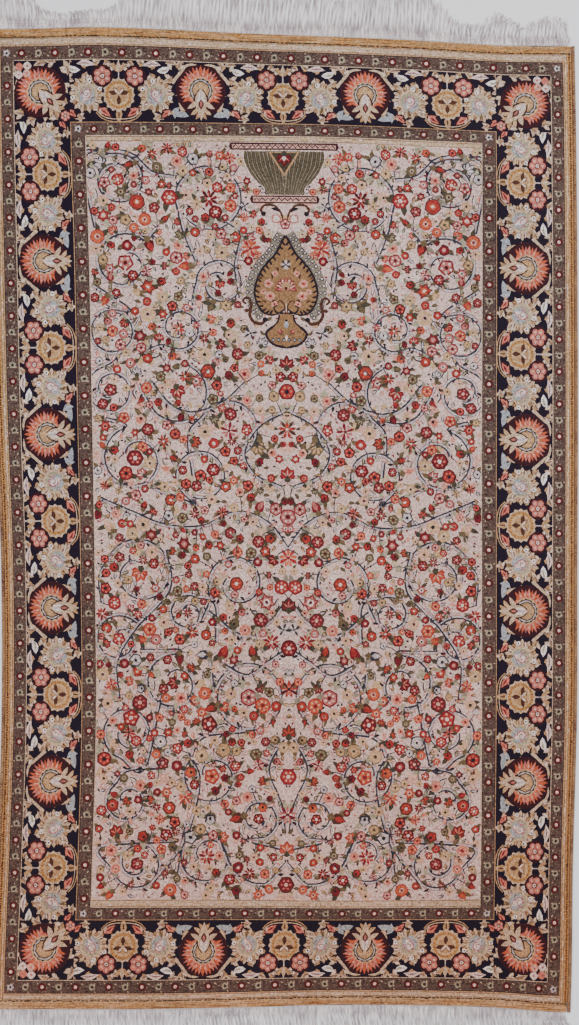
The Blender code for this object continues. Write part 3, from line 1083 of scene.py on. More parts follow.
@dataclass(frozen=True)
class NicheDrawing:
    """The fluted dome of the niche and the lamp that hangs under it, drawn in depths below the top."""

    top: float
    dome_edge: tuple[tuple[float, float], ...] = (
        (54.5, 12), (54.5, 25), (47, 42), (36, 56), (28, 63), (27, 72),
    )
    lamp_edge: tuple[tuple[float, float], ...] = (
        (0, 128), (6, 138), (14, 153), (24, 164), (33, 175), (40, 190), (43, 206), (40, 221), (32, 233),
        (21, 237), (11, 235), (2, 229),
    )
    foot_edge: tuple[tuple[float, float], ...] = (
        (9, 236), (13, 248), (26, 259), (27, 267), (18, 277), (0, 282),
    )

    def _path(self, places: Sequence[tuple[float, float]], steps: int = 4) -> Points:
        """A smooth path through places given as distances from the middle and depths below the top."""
        return smooth_path([(-across, self.top - depth) for across, depth in places], steps)

    def _at(self, across: float, depth: float) -> tuple[float, float]:
        """A place in the left half."""
        return (-across, self.top - depth)

    def draw(self) -> Motif:
        """Draws the whole motif about the middle line."""
        half = Motif()
        self._lace(half)
        self._lamp(half)
        self._arabesque(half)
        self._dome(half)
        motif = half.both_sides()
        motif.stamp(Flower(FlowerKind.FIVE_PETAL, 7.5, RED_DRESSES[2]).draw(), self._at(0, 112), 90)
        motif.stamp(Flower(FlowerKind.STAR, 7, PALE_DRESSES[2]).draw(), self._at(0, 168))
        self._lotus(motif, self._at(0, 200))
        motif.add(leaf(12, 6, 0, 4), Silk.SKY, self._at(0, 256)).add(disc(2, 5), Silk.INK, self._at(0, 244))
        motif.add(leaf(9, 4, 0, 4), Silk.SHELL, self._at(0, 264), 180)
        triangle = np.array([self._at(-21, 13), self._at(21, 13), self._at(0, 47)])
        motif.add(triangle, Silk.SAND).add(triangle * 0.84 + np.array([0, self.top * 0.16 - 3.6]), Silk.MOSS)
        motif.stamp(Flower(FlowerKind.FAN, 11.5, RED_DRESSES[1]).draw(), self._at(0, 22), 180)
        motif.add(disc(3.2, 6), Silk.SHELL, self._at(0, 22)).add(disc(1.8, 5), Silk.SLATE, self._at(0, 17))
        return motif

    @staticmethod
    def _lotus(motif: Motif, at: tuple[float, float]) -> None:
        """The lamp's open flower: petals fanned upwards and sideways, red outside and pink inside."""
        for turn in (100, -100, 74, -74, 50, -50, 26, -26, 0):
            motif.add(leaf(16, 6.4, 0, 4, 1.2), Silk.CRIMSON, at, turn)
            motif.add(leaf(14, 3.4, 0, 4, 1.2), Silk.BLUSH if turn % 4 else Silk.ROSE, at, turn)
        motif.add(lobes(6.2, 5, 0.2, 3), Silk.SAND, (at[0], at[1] + 3)).add(disc(2.4, 6), Silk.OXBLOOD, at)

    def _dome(self, half: Motif) -> None:
        """The zigzag cornice, the fluted dome and the scrolled bar under it."""
        top = self.top
        edge = self._path(self.dome_edge)
        half.add(np.vstack([edge, [(2, top - 72), (2, top - 12)]]), Silk.MOSS)
        for flute in range(20):
            share = (flute + 0.4) / 20
            start, bow = 54 * (1 - share), 9 * (1 - share) - 5
            path = self._path([(start, 12.5), (start * 0.86 + bow, 34), (start * 0.62 + bow * 0.6, 54),
                               (start * 0.46, 71.5)], 3)
            half.add(ribbon(path, 1.3, 0.8), Silk.ASH if flute % 2 else Silk.OLIVE)
        half.add(ribbon(edge, 1.2), Silk.SHELL)
        self._barred(half, 72.0, 0.8, 10.4, 6.2, 18)
        self._barred(half, 45.0, 73.0, 83.5, 5.8, 11)
        curl = spiral(self._at(30, 66), 4.2, 1.0, 0, -0.9)
        half.add(ribbon(curl, 1.2), Silk.SLATE)

    def _barred(self, half: Motif, across: float, depth: float, low: float, swing: float, count: int) -> None:
        """A pale bar in a dark red frame with a zigzag along it."""
        y0, y1 = self.top - low, self.top - depth
        half.add(np.array([(-across, y0), (2, y0), (2, y1), (-across, y1), (-across - 2, (y0 + y1) / 2)]), Silk.MAROON)
        half.add(np.array([(2.0 - across, y0 + 1.9), (2, y0 + 1.9), (2, y1 - 1.9), (2.0 - across, y1 - 1.9)]), Silk.BLUSH)
        step = (across - 3) / count
        middle = (y0 + y1) / 2
        zigzag = [(-across + 3 + step * n, middle + swing / 3.2 * (1 if n % 2 else -1)) for n in range(count + 2)]
        half.stroke(np.array(zigzag), Silk.SLATE, 1.8)
        for n in range(0, count, 2):
            half.add(disc(0.9, 4), Silk.CRIMSON, (-across + 3 + step * n, middle + swing / 4))

    def _arabesque(self, half: Motif) -> None:
        """The dark curls that carry the lamp, and the small flowers between them."""
        stem = self._path([(2, 118), (2.6, 108), (6, 96), (14, 87), (26, 86), (32, 91), (31, 97), (27, 98)])
        half.stroke(stem, Silk.BROWN, 2.4, 3.8)
        half.add(disc(3.4, 7), Silk.INK, self._at(29, 98)).add(leaf(13, 5, 2, 4), Silk.INK, self._at(7, 96), 68)
        half.add(lobes(7, 5, 0.2, 3), Silk.ROSE, self._at(12, 105)).add(lobes(5, 5, 0.2, 3), Silk.SHELL, self._at(12, 105))
        half.stamp(Flower(FlowerKind.TULIP, 6.5, RED_DRESSES[0]).draw(), self._at(32, 110))
        half.stamp(Flower(FlowerKind.STAR, 12, RED_DRESSES[4]).draw(), self._at(48, 146))
        for across, depth in ((46, 117), (23, 126), (66, 112)):
            half.add(lobes(6, 6, 0.16, 2), Silk.CREAM, self._at(across, depth))
            half.add(disc(1.4, 5), Silk.BROWN, self._at(across, depth))

    def _lace(self, half: Motif) -> None:
        """The pale lacy edge of small slate curls outside the lamp."""
        edge = self._path(self.lamp_edge)
        half.stroke(edge[:34], Silk.ASH, 13.0, 11.0, -6.5)
        for index in range(2, 34, 2):
            run = edge[index + 1] - edge[index - 1]
            out = np.array([run[1], -run[0]]) / np.linalg.norm(run)
            for reach, size in ((4.4, 2.9), (9.8, 3.4)):
                at = tuple(edge[index] + out * reach)
                half.add(lobes(size, 4, 0.3, 2), Silk.SLATE, at).add(disc(size * 0.45, 5), Silk.SHELL, at)

    def _lamp(self, half: Motif) -> None:
        """The lamp's body and foot with their serrated dark edges, and the curls at its sides."""
        top = self.top
        foot = self._path(self.foot_edge)
        half.add(np.vstack([foot, [(2, top - 282), (2, top - 232)]]), Silk.UMBER)
        half.stroke(foot, Silk.INK, 2.4, 3.6)
        edge = self._path(self.lamp_edge)
        half.add(np.vstack([edge, [(2, top - 200), (2, top - 128)]]), Silk.UMBER)
        for index in range(3, len(edge) - 8, 2):
            run = edge[index + 1] - edge[index - 1]
            heading = math.degrees(math.atan2(run[1], run[0]))
            half.add(leaf(8.5, 3.2, 1, 3), Silk.INK, tuple(edge[index]), heading - 22)
        half.stroke(edge, Silk.INK, 3.4, 2.2)
        for across, depth, size in ((24, 194, 6.0), (22, 211, 6.6), (15, 180, 4.2), (31, 205, 3.6), (16, 222, 4.4)):
            half.stamp(Flower(FlowerKind.FIVE_PETAL, size, PALE_DRESSES[0]).draw(), self._at(across, depth))
        for across, depth, turn in ((10, 178, 30), (32, 188, 70), (13, 216, 120), (27, 221, 60), (19, 188, 10)):
            half.add(leaf(8, 3, 1.2, 3), Silk.BROWN, self._at(across, depth), turn)
        half.add(ribbon(self._path([(1, 236), (3, 222), (9, 217), (12, 221)]), 2.2, 1.6), Silk.BROWN)
        half.add(ribbon(self._path([(3, 234), (12, 234), (17, 227), (12, 224)]), 2.2, 1.8), Silk.INK)
        half.stamp(Flower(FlowerKind.BUD, 4.6, RED_DRESSES[2]).draw(), self._at(8.5, 260), 40)
        for across in (4, 11, 18):
            half.add(lobes(3.2, 4, 0.3, 2), Silk.SLATE, self._at(across, 271)).add(
                disc(1.6, 5), Silk.SKY, self._at(across, 271))
        arm = self._path([(54, 222), (59, 218), (54, 213), (48, 219), (49, 230), (50, 238), (44, 247), (34, 249), (28, 242)])
        half.stroke(arm, Silk.BROWN, 2.6, 5.0).add(disc(3.6, 7), Silk.INK, self._at(29, 243))
        half.add(disc(3.2, 6), Silk.BROWN, self._at(54, 231))
        half.stamp(Flower(FlowerKind.STAR, 8.5, PALE_DRESSES[2]).draw(), self._at(49, 262))


@dataclass
class BorderDrawing:
    """The half unit of the main border, from an orange palmette's middle to a rosette's middle.

    It is drawn with the rug's outer side at the top: x runs from 0 to length, y from 0 to depth.
    """

    length: float = 116.0
    depth: float = 82.5

    def half_unit(self, start: float = 0.0, palmette: float = 63.0) -> Mosaic:
        """Draws the half unit and cuts it into a mosaic.

        Args:
            start: where it starts, beyond 0 for the short one beside a corner.
            palmette: where its cream palmette stands.

        Returns:
            The mosaic from start to the rosette's middle.
        """
        motif = Motif()
        self._scroll_leaves(motif)
        motif.stamp(self.cream_palmette(), (palmette, 37), -28)
        motif.stamp(self.gold_rosette(), (self.length, 0))
        self._pink_leaves(motif)
        motif.stamp(self.pink_flower(), (93, 61))
        motif.stamp(self.orange_palmette(), (0, 44))
        return Mosaic.lay((start, self.length), (0, self.depth), Silk.NAVY, motif)

    def corner(self, width: float, height: float) -> Mosaic:
        """The corner block: an orange palmette turned towards the rug's corner.

        Args:
            width: the block's size along x.
            height: the block's size along y.

        Returns:
            A mosaic with the rug's outer corner at the top left.
        """
        motif = Motif()
        for at, turn in (
            ((58, height - 3), 82), ((74, height - 16), 20), ((4, 40), 2), ((12, 24), -30), ((70, 40), 60),
            ((30, 4), 120), ((74, 24), 70), ((48, 12), 110), ((26, 16), 40), ((68, 54), -160), ((74, 62), 10),
            ((14, 8), 70), ((60, 2), 40), ((6, 60), 20), ((44, height - 4), 100),
        ):
            self._acanthus(motif, at, turn)
        motif.stamp(self.orange_palmette(), (36, height - 42), 45)
        for at, silk in (((8, -8), Silk.SALMON), ((19, -7), Silk.SHELL), ((7, -19), Silk.SHELL), ((18, -17), Silk.BLUSH)):
            motif.add(lobes(5.8, 4, 0.2, 3), silk, (at[0], height + at[1]))
            motif.add(disc(1.8, 5), Silk.ROSE, (at[0], height + at[1]))
        motif.stamp(self.pink_flower(), (70, 8), 0, 0.55)
        return Mosaic.lay((0, width), (0, height), Silk.NAVY, motif)

    @staticmethod
    def _acanthus(motif: Motif, at: tuple[float, float], turn: float, size: float = 1.0) -> None:
        """A ragged cream leaf with a shaded side."""
        leaves = Motif().add(leaf(17, 8, 2, 4), Silk.CREAM).add(leaf(10, 6, 1, 3), Silk.CREAM, (-1, 3), 48)
        leaves.add(leaf(10, 6, -1, 3), Silk.SAND, (1, 2), -44).add(leaf(14, 3.0, 1.6, 3), Silk.STONE)
        leaves.add(leaf(8, 2.4, 1, 3), Silk.SHELL, (-1, 3), 46)
        motif.stamp(leaves, at, turn, size)

    @staticmethod
    def orange_palmette() -> Motif:
        """A palmette of orange rays round a gold heart, its cream neck pointing down."""
        half = Motif()
        motif = Motif()
        motif.add(disc(35.5, 24), Silk.MAROON)
        rays = 25
        for ray in range(rays):
            angle = -122 + 244 * ray / (rays - 1)
            long = 34.5 - 3.5 * abs(angle) / 122 - 1.6 * (ray % 2)
            silk = (Silk.ORANGE, Silk.SALMON, Silk.ORANGE, Silk.ROSE, Silk.SALMON)[ray % 5]
            motif.add(leaf(long - 10, 6.0, 0, 4, 0.85), silk, tuple(turned(np.array([[0, 10.0]]), angle)[0]), angle)
        motif.add(lobes(23, 18, 0.1, 2), Silk.ORANGE).add(lobes(21, 16, 0.06, 2), Silk.SALMON)
        for ray in range(14):
            angle = -112 + 224 * ray / 13
            motif.add(leaf(7, 2.2, 0, 2), Silk.BLUSH, tuple(turned(np.array([[0, 18.5]]), angle)[0]), angle)
        motif.add(disc(18.2, 18), Silk.WHEAT).add(lobes(17.0, 14, 0.1, 2), Silk.INK)
        motif.add(disc(14.8, 16), Silk.MIST).add(lobes(13.6, 9, 0.14, 3), Silk.MOSS)
        motif.add(lobes(12.0, 9, 0.16, 3), Silk.SAND)
        for at in ((0, 6), (-6, 3), (6, 3)):
            motif.add(disc(3.0, 6, 1.3), Silk.WHEAT, at).add(disc(1.3, 5), Silk.GOLD, at)
        half.add(leaf(33, 16, -3, 5, 0.9), Silk.MAROON, (3, 2), 168)
        half.add(leaf(26, 11, -3, 5, 0.9), Silk.SAND, (2, -3), 158).add(leaf(20, 4, -2, 4), Silk.BROWN, (3, -6), 160)
        half.add(leaf(17, 7, 2, 4), Silk.CREAM, (6, -14), 232).add(leaf(13, 6, 2, 4), Silk.WHEAT, (6, -24), 222)
        half.add(leaf(11, 5, 1, 3), Silk.SAND, (3, -30), 205)
        motif.stamp(half.both_sides())
        motif.add(leaf(44, 17, 0, 6, 0.8), Silk.CREAM, (0, 3), 180).add(leaf(24, 11, 0, 5, 0.9), Silk.SHELL, (0, 1), 180)
        motif.add(leaf(20, 3, 0, 3), Silk.MIST, (0, 0), 180)
        motif.add(leaf(15, 8.0, 0, 5, 0.85), Silk.BROWN, (0, -12), 180)
        return motif.add(leaf(9, 3.4, 0, 3, 0.85), Silk.ROSE, (0, -14), 180)

    @staticmethod
    def cream_palmette() -> Motif:
        """A serrated cream palmette with a sage inside and a pink spiral leaf at its heart."""
        motif = Motif()
        motif.add(lobes(26, 14, 0.26, 4, True), Silk.CREAM)
        for petal in range(14):
            angle = petal * 360 / 14
            at = tuple(turned(np.array([[0, 13.5]]), angle)[0])
            motif.add(leaf(10, 6.2, 0.6, 3), Silk.BRONZE, at, angle)
            motif.add(leaf(9, 4.2, 0.6, 3), (Silk.SAND, Silk.SHELL, Silk.WHEAT)[petal % 3], at, angle)
            motif.add(leaf(8, 1.7, 0.6, 2), (Silk.BROWN, Silk.STONE)[petal % 2], at, angle + 9)
        motif.add(lobes(16.5, 9, 0.14, 3), Silk.CREAM).add(lobes(14.5, 7, 0.22, 3), Silk.SAGE, (1, -1))
        motif.add(lobes(11.5, 6, 0.22, 3), Silk.SKY, (2.5, -2.5))
        motif.add(leaf(21, 10, 2, 6), Silk.SHELL, (1, -11), 8)
        motif.add(ribbon(spiral((0, 1), 6.6, 1.2, -70, 1.4)[::2], 1.3), Silk.MAUVE)
        motif.add(ribbon(smooth_path([(2, -12), (6, -4), (5, 5), (0, 9), (-5, 6)], 3), 1.2), Silk.ROSE)
        motif.add(leaf(10, 4, 1, 4), Silk.OLIVE, (4, -11), 215).add(leaf(12, 2, 3, 4), Silk.ROSE, (-8, -8), 10)
        motif.add(leaf(9, 2, -2, 3), Silk.STONE, (10, -6), -20)
        for at in ((-15, -13), (14, 15), (-4, 18)):
            motif.add(disc(3.2, 6), Silk.WHITE, at).add(disc(1.3, 5), Silk.BROWN, at)
        return motif

    @staticmethod
    def gold_rosette() -> Motif:
        """The gold rosette with its stem and tail, about its own middle line at x 0."""
        motif = Motif()
        motif.add(ribbon(np.array([(0, 0.0), (0, 82.0)]), 1.7), Silk.MIST)
        for turn in (-38, 38, 0):
            motif.add(leaf(15, 6.5, 0, 4), Silk.SAND if turn else Silk.CREAM, (0, 66), turn)
        motif.add(leaf(22, 9, 0, 5, 0.8), Silk.SAND, (0, 19), 180).add(leaf(14, 2.4, 0, 3), Silk.BROWN, (0, 17), 180)
        motif.add(lobes(23.5, 16, 0.2, 3), Silk.CREAM, (0, 36)).add(lobes(20, 16, 0.12, 2), Silk.GOLD, (0, 36))
        for petal in range(16):
            angle = petal * 22.5 + 11.2
            at = tuple(turned(np.array([[0, 13.0]]), angle)[0] + (0, 36))
            motif.add(leaf(8.5, 1.1, 0, 2), Silk.BRONZE, at, angle)
        motif.add(disc(14.8, 14), Silk.WHEAT, (0, 36)).add(lobes(12.5, 8, 0.16, 2), Silk.SAND, (0, 36))
        for turn in (78, -78, 180):
            motif.add(leaf(15, 6.4, 0, 4, 1.2), Silk.BROWN, (0, 37), turn)
        for turn in (36, -36):
            motif.add(leaf(13, 5.4, 0, 4, 1.2), Silk.BRONZE, (0, 36), turn).add(
                leaf(11, 3.0, 0, 3, 1.2), Silk.SHELL, (0, 36), turn)
        motif.add(leaf(13, 4.5, 0, 4, 1.2), Silk.SAND, (0, 36), 0)
        return motif.add(disc(2.4, 6), Silk.CREAM, (0, 37))

    @staticmethod
    def pink_flower() -> Motif:
        """A six-petalled pink flower in a dark red halo."""
        motif = Motif().add(lobes(15.5, 6, 0.06, 3), Silk.MAROON)
        for petal in range(6):
            angle = math.radians(petal * 60 + 30)
            at = (7.8 * math.cos(angle), 7.8 * math.sin(angle))
            motif.add(disc(4.9, 7), (Silk.SALMON, Silk.ROSE)[petal % 2], at).add(disc(2.4, 5), Silk.BLUSH, at)
        return motif.add(disc(4.2, 7), Silk.BROWN).add(disc(2.9, 6), Silk.SHELL).add(disc(1.2, 5), Silk.SCARLET)

    def _scroll_leaves(self, motif: Motif) -> None:
        """The pale leaves that scroll between the palmettes."""
        motif.add(leaf(21, 9, -3, 4), Silk.SKY, (17, 8), -88).add(leaf(17, 9, 3, 4), Silk.SKY, (37, 5), 20)
        motif.add(leaf(15, 9, 0, 4), Silk.SAND, (24, 13), -18).add(leaf(11, 4.4, 0, 4), Silk.CREAM, (25, 14), -20)
        motif.add(leaf(10, 5, 1, 4), Silk.CREAM, (30, 22), 22).add(leaf(13, 6, 1, 4), Silk.SAND, (38, 12), -70)
        rim = smooth_path([(6, 78), (14, 79), (22, 76), (27, 69), (34, 61), (41, 53)], 3)
        motif.add(ribbon(rim, 2.8, 4.8), Silk.CREAM)
        for at, turn, size in (
            ((24, 80), -30, 0.8), ((30, 70), 10, 0.9), ((40, 62), -120, 0.9), ((50, 80), 95, 1.0), ((60, 80), -95, 1.1),
            ((72, 66), 160, 0.8), ((78, 78), -70, 0.8), ((82, 40), -20, 0.7), ((86, 14), 30, 0.7), ((66, 6), 100, 0.8),
            ((112, 70), 60, 0.8), ((104, 80), 120, 0.7), ((58, 10), -120, 0.7), ((78, 26), 200, 0.7), ((36, 36), 90, 0.7),
        ):
            self._acanthus(motif, at, turn, size)
        motif.add(leaf(20, 9, 2, 4), Silk.WHITE, (43, 74), -105).add(leaf(14, 3.5, 2, 3), Silk.SAGE, (44, 73), -105)
        motif.add(leaf(27, 7.5, -2.5, 5), Silk.SHELL, (56, 77), -94).add(leaf(20, 2, -2, 4), Silk.MAUVE, (58, 77), -94)

    def _pink_leaves(self, motif: Motif) -> None:
        """The pink leaves beside the rosette's tail and the double lines under them."""
        for at, turn, size in (((86, 20), -126, 1.0), ((42, 18), -132, 0.8)):
            leaves = Motif().add(leaf(26, 13, 0, 5), Silk.MAROON).add(leaf(20, 7.6, 0, 5), Silk.SALMON, (0, 2))
            leaves.add(leaf(16, 2.6, 0, 3), Silk.CRIMSON, (0, 3)).add(leaf(11, 4.6, 1, 3), Silk.SALMON, (0, 4), 34)
            motif.stamp(leaves.stamp(Motif().add(leaf(9, 3.8, 1, 3), Silk.BLUSH, (0, 4), -34)), at, turn, size)
        for lift, silk in ((0.0, Silk.CREAM), (-3.4, Silk.SAND)):
            line = smooth_path([(84, 16 + lift), (92, 8 + lift), (103, 4.4 + lift), (117, 3.6 + lift)], 3)
            motif.add(ribbon(line, 1.3), silk)


@dataclass(frozen=True)
class GuardDrawing:
    """One unit of a guard: a ringed dot, a small floweret and fine tendrils between them."""

    length: float = 45.0
    depth: float = 19.0
    seed: int = 3

    def unit(self) -> Mosaic:
        """Draws the unit and cuts it into a mosaic, its outer side at the top."""
        draw = np.random.default_rng(self.seed)
        motif = Motif()
        middle = self.depth / 2
        shades = (Silk.INK, Silk.ASH, Silk.BROWN, Silk.STONE, Silk.INK, Silk.ASH, Silk.MOSS, Silk.CREAM)
        for number in range(56):
            at = (draw.uniform(0, self.length), draw.uniform(1.5, self.depth - 1.5))
            fleck = leaf(draw.uniform(3.2, 5.0), draw.uniform(1.3, 1.8), draw.uniform(-0.8, 0.8), 2)
            motif.add(fleck, shades[number % len(shades)], at, draw.uniform(0, 360))
        dot = Motif().add(disc(6.0, 9), Silk.BROWN).add(disc(4.9, 8), Silk.OXBLOOD)
        dot.add(disc(2.9, 7), Silk.ROSE).add(disc(2.3, 6), Silk.SHELL)
        flower = Motif().add(lobes(4.8, 5, 0.35, 3), Silk.SAGE).add(lobes(3.0, 5, 0.3, 2), Silk.TAUPE)
        flower.add(disc(1.5, 5), Silk.INK)
        motif.stamp(dot, (self.length / 4, middle)).stamp(flower, (self.length * 0.75, middle))
        for y, silk in ((1.5, Silk.INK), (0.5, Silk.CREAM), (self.depth - 1.4, Silk.INK), (self.depth - 0.4, Silk.SAND)):
            motif.add(rectangle(-1.0, y - 0.5, self.length + 1, y + 0.5), silk)
        return Mosaic.lay((0, self.length), (0, self.depth), Silk.TAUPE, motif)


class Run(NamedTuple):
    """A straight run of units: where it starts, how long and deep it is, and which way it faces."""

    start: tuple[float, float]
    heading: float
    length: float
    depth: float


@dataclass
class MosaicPiece:
    """A zone of the pile, laid on the cloth as one mesh."""

    name: str
    plan: RugPlan
    height: float

    def build(self, mosaic: Mosaic, material: bpy.types.Material) -> bpy.types.Object:
        """Makes the mesh.

        Args:
            mosaic: the zone's triangles in the rug's plan.
            material: the pile's finish.

        Returns:
            The piece, riding on the rug.
        """
        places = self.plan.place(mosaic.corners)
        keys, first, back = np.unique(np.round(places, 6), axis=0, return_index=True, return_inverse=True)
        faces = back.reshape(-1)[mosaic.faces]
        a, b, c = (places[first][faces[:, corner]] for corner in range(3))
        area = (b[:, 0] - a[:, 0]) * (c[:, 1] - a[:, 1]) - (b[:, 1] - a[:, 1]) * (c[:, 0] - a[:, 0])
        faces = np.where(area[:, None] < 0, faces[:, ::-1], faces)
        keep = np.abs(area) > 1e-12
        faces, silks = faces[keep], mosaic.silks[keep]
        flat = mosaic.corners[first]
        heights = np.full(len(first), self.height)
        mesh = bpy.data.meshes.new(self.name)
        mesh.from_pydata(np.column_stack([places[first], heights]), [], faces)
        colours = mesh.color_attributes.new(name="silk", type="FLOAT_COLOR", domain="CORNER")
        colours.data.foreach_set("color", np.repeat(SILK_COLOURS[silks], 3, axis=0).ravel())
        self._lay_map(mesh, flat, faces)
        mesh.materials.append(material)
        piece = bpy.data.objects.new(self.name, mesh)
        bpy.context.scene.collection.objects.link(piece)
        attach(piece, "root")
        log.info("%s: %d triangles", self.name, len(faces))
        return piece

    @staticmethod
    def _lay_map(mesh: bpy.types.Mesh, flat: Points, faces: np.ndarray) -> None:
        """Gives the mesh an even map of the zone's plan."""
        low = flat.min(axis=0)
        span = max(flat.max(axis=0) - low)
        layer = mesh.uv_layers.new(name="OFBake")
        layer.uv.foreach_set("vector", ((flat - low) / span)[faces].astype(np.float32).ravel())


@dataclass
class PileZones:
    """The knotted pile: the field and the borders round it."""

    plan: RugPlan
    finish: PileFinish
    height: float = 3.6 * MM
    corner_share: float = 0.6

    def build(self) -> list[bpy.types.Object]:
        """Builds every zone and returns its pieces."""
        material = self.finish.material("silk_pile_looks")
        pieces = self._field(material)
        pieces.append(self._piece("pile_main_border", self._main_border(), material))
        pieces.append(self._piece("pile_guards", self._guards(), material))
        pieces.append(self._piece("pile_stripes", self._stripes(), material))
        return pieces

    def _piece(self, name: str, mosaic: Mosaic, material: bpy.types.Material) -> bpy.types.Object:
        """Lays one zone's mosaic."""
        return MosaicPiece(name, self.plan, self.height).build(mosaic, material)

    def _field(self, material: bpy.types.Material) -> list[bpy.types.Object]:
        """The field, whose right half mirrors its left half, each half in an upper and a lower piece."""
        half = FieldDrawing(self.plan).mosaic()
        upper = half.corners[half.faces].mean(axis=1)[:, 1] > 0
        pieces = []
        for part, keep in (("upper", upper), ("lower", ~upper)):
            left = half.kept(keep)
            right = left.mapped(lambda points: points * np.array([-1.0, 1.0]))
            pieces.append(self._piece(f"pile_field_{part}_left", left, material))
            pieces.append(self._piece(f"pile_field_{part}_right", right, material))
        return pieces

    def _runs(self, side_in: float, top_in: float, bottom_in: float, bands: tuple[float, float, float]) -> list[Run]:
        """The four runs of a band between its corner blocks.

        Args:
            side_in: where the band starts, in from the long edges.
            top_in: where it starts, in from the top edge.
            bottom_in: where it starts, in from the bottom edge.
            bands: how deep the band is on the sides, at the top and at the bottom.

        Returns:
            Runs for the left, top, right and bottom, each from its own inner left end as seen
            with the rug's outer side up.
        """
        w, h = self.plan.half_width, self.plan.half_length
        side, top, bottom = bands
        left, right = -w + side_in + side, w - side_in - side
        low, high = -h + bottom_in + bottom, h - top_in - top
        return [
            Run((left, low), 90.0, high - low, side),
            Run((left, high), 0.0, right - left, top),
            Run((right, high), -90.0, high - low, side),
            Run((right, low), 180.0, right - left, bottom),
        ]

    @staticmethod
    def _laid(unit: Mosaic, size: tuple[float, float], at: float, flip: bool, run: Run) -> Mosaic:
        """A unit stretched by size, flipped or not, set at a place along its run."""
        def move(points: Points) -> Points:
            local = points * np.array(size) * np.array([-1.0 if flip else 1.0, 1.0]) + np.array([at, 0.0])
            return turned(local, run.heading) + np.array(run.start)
        return unit.mapped(move)

    def _main_border(self) -> Mosaic:
        """The navy border: half units between four corner blocks."""
        side, top, bottom = SIDE_BANDS, TOP_BANDS, BOTTOM_BANDS
        depths = (side.inner - side.border, top.inner - top.border, bottom.inner - bottom.border)
        drawing = BorderDrawing()
        half = drawing.half_unit()
        share = self.corner_share
        short = drawing.half_unit(drawing.length * (1 - share), 70.0)
        parts = []
        for number, run in enumerate(self._runs(side.border, top.border, bottom.border, depths)):
            halves = 8 if number % 2 == 0 else 4
            pitch = run.length / (halves + 2 * share)
            size = (pitch / drawing.length, run.depth / drawing.depth)
            edge = pitch * share
            parts.append(self._laid(short, size, edge - pitch, False, run))
            for index in range(halves):
                # A half unit runs from its palmette to its rosette, so they face each other in pairs
                at = edge + pitch * (index + (0 if index % 2 else 1))
                parts.append(self._laid(half, size, at, index % 2 == 0, run))
            parts.append(self._laid(short, size, edge + pitch * (halves + 1), True, run))
        parts += self._corners(drawing, side.border, (top.border, bottom.border), depths)
        return Mosaic.joined(parts)

    def _corners(
        self, drawing: BorderDrawing, side_in: float, end_ins: tuple[float, float], depths: tuple[float, float, float],
    ) -> list[Mosaic]:
        """The four corner blocks of the main border."""
        w, h = self.plan.half_width, self.plan.half_length
        parts = []
        for end_in, depth, down in ((end_ins[0], depths[1], 1.0), (end_ins[1], depths[2], -1.0)):
            block = drawing.corner(depths[0], depth)
            for across in (1.0, -1.0):
                corner = np.array([-(w - side_in) * across, (h - end_in) * down])
                size = np.array([across, down])
                offset = np.array([0.0, -depth])
                parts.append(block.mapped(lambda points, c=corner, s=size, o=offset: (points + o) * s + c))
        return parts

    def _guards(self) -> Mosaic:
        """Both guards, with a plain dotted block at each corner."""
        side, top, bottom = SIDE_BANDS, TOP_BANDS, BOTTOM_BANDS
        drawing = GuardDrawing()
        unit = drawing.unit()
        parts = []
        for starts, ends in (("guard", "border"), ("inner", "inner_cream")):
            ins = [getattr(bands, starts) for bands in (side, top, bottom)]
            depths = tuple(getattr(bands, ends) - getattr(bands, starts) for bands in (side, top, bottom))
            for run in self._runs(*ins, depths):
                count = round(run.length / drawing.length)
                pitch = run.length / count
                size = (pitch / drawing.length, run.depth / drawing.depth)
                for index in range(count):
                    parts.append(self._laid(unit, size, index * pitch, False, run))
            parts += self._guard_corners(ins, depths)
        return Mosaic.joined(parts)

    def _guard_corners(self, ins: Sequence[float], depths: Sequence[float]) -> list[Mosaic]:
        """The corner blocks of one guard: a floweret on the guard's ground."""
        w, h = self.plan.half_width, self.plan.half_length
        parts = []
        for end, depth, down in ((ins[1], depths[1], 1.0), (ins[2], depths[2], -1.0)):
            motif = Motif()
            middle = (depths[0] / 2, depth / 2)
            for turn in range(0, 360, 45):
                motif.add(leaf(9, 2.2, 1.2, 4), (Silk.MOSS, Silk.STONE)[turn % 2], middle, turn)
            motif.add(lobes(5, 5, 0.35, 4), Silk.MIST, middle).add(disc(1.8, 6), Silk.INK, middle)
            motif.add(ribbon(np.array([(0.5, 0), (0.5, depth - 0.5), (depths[0], depth - 0.5)]), 1.1), Silk.SAND)
            block = Mosaic.lay((0, depths[0]), (0, depth), Silk.TAUPE, motif)
            for across in (1.0, -1.0):
                corner = np.array([-(w - ins[0]) * across, (h - end) * down])
                size = np.array([across, down])
                offset = np.array([0.0, -depth])
                parts.append(block.mapped(lambda points, c=corner, s=size, o=offset: (points + o) * s + c))
        return parts

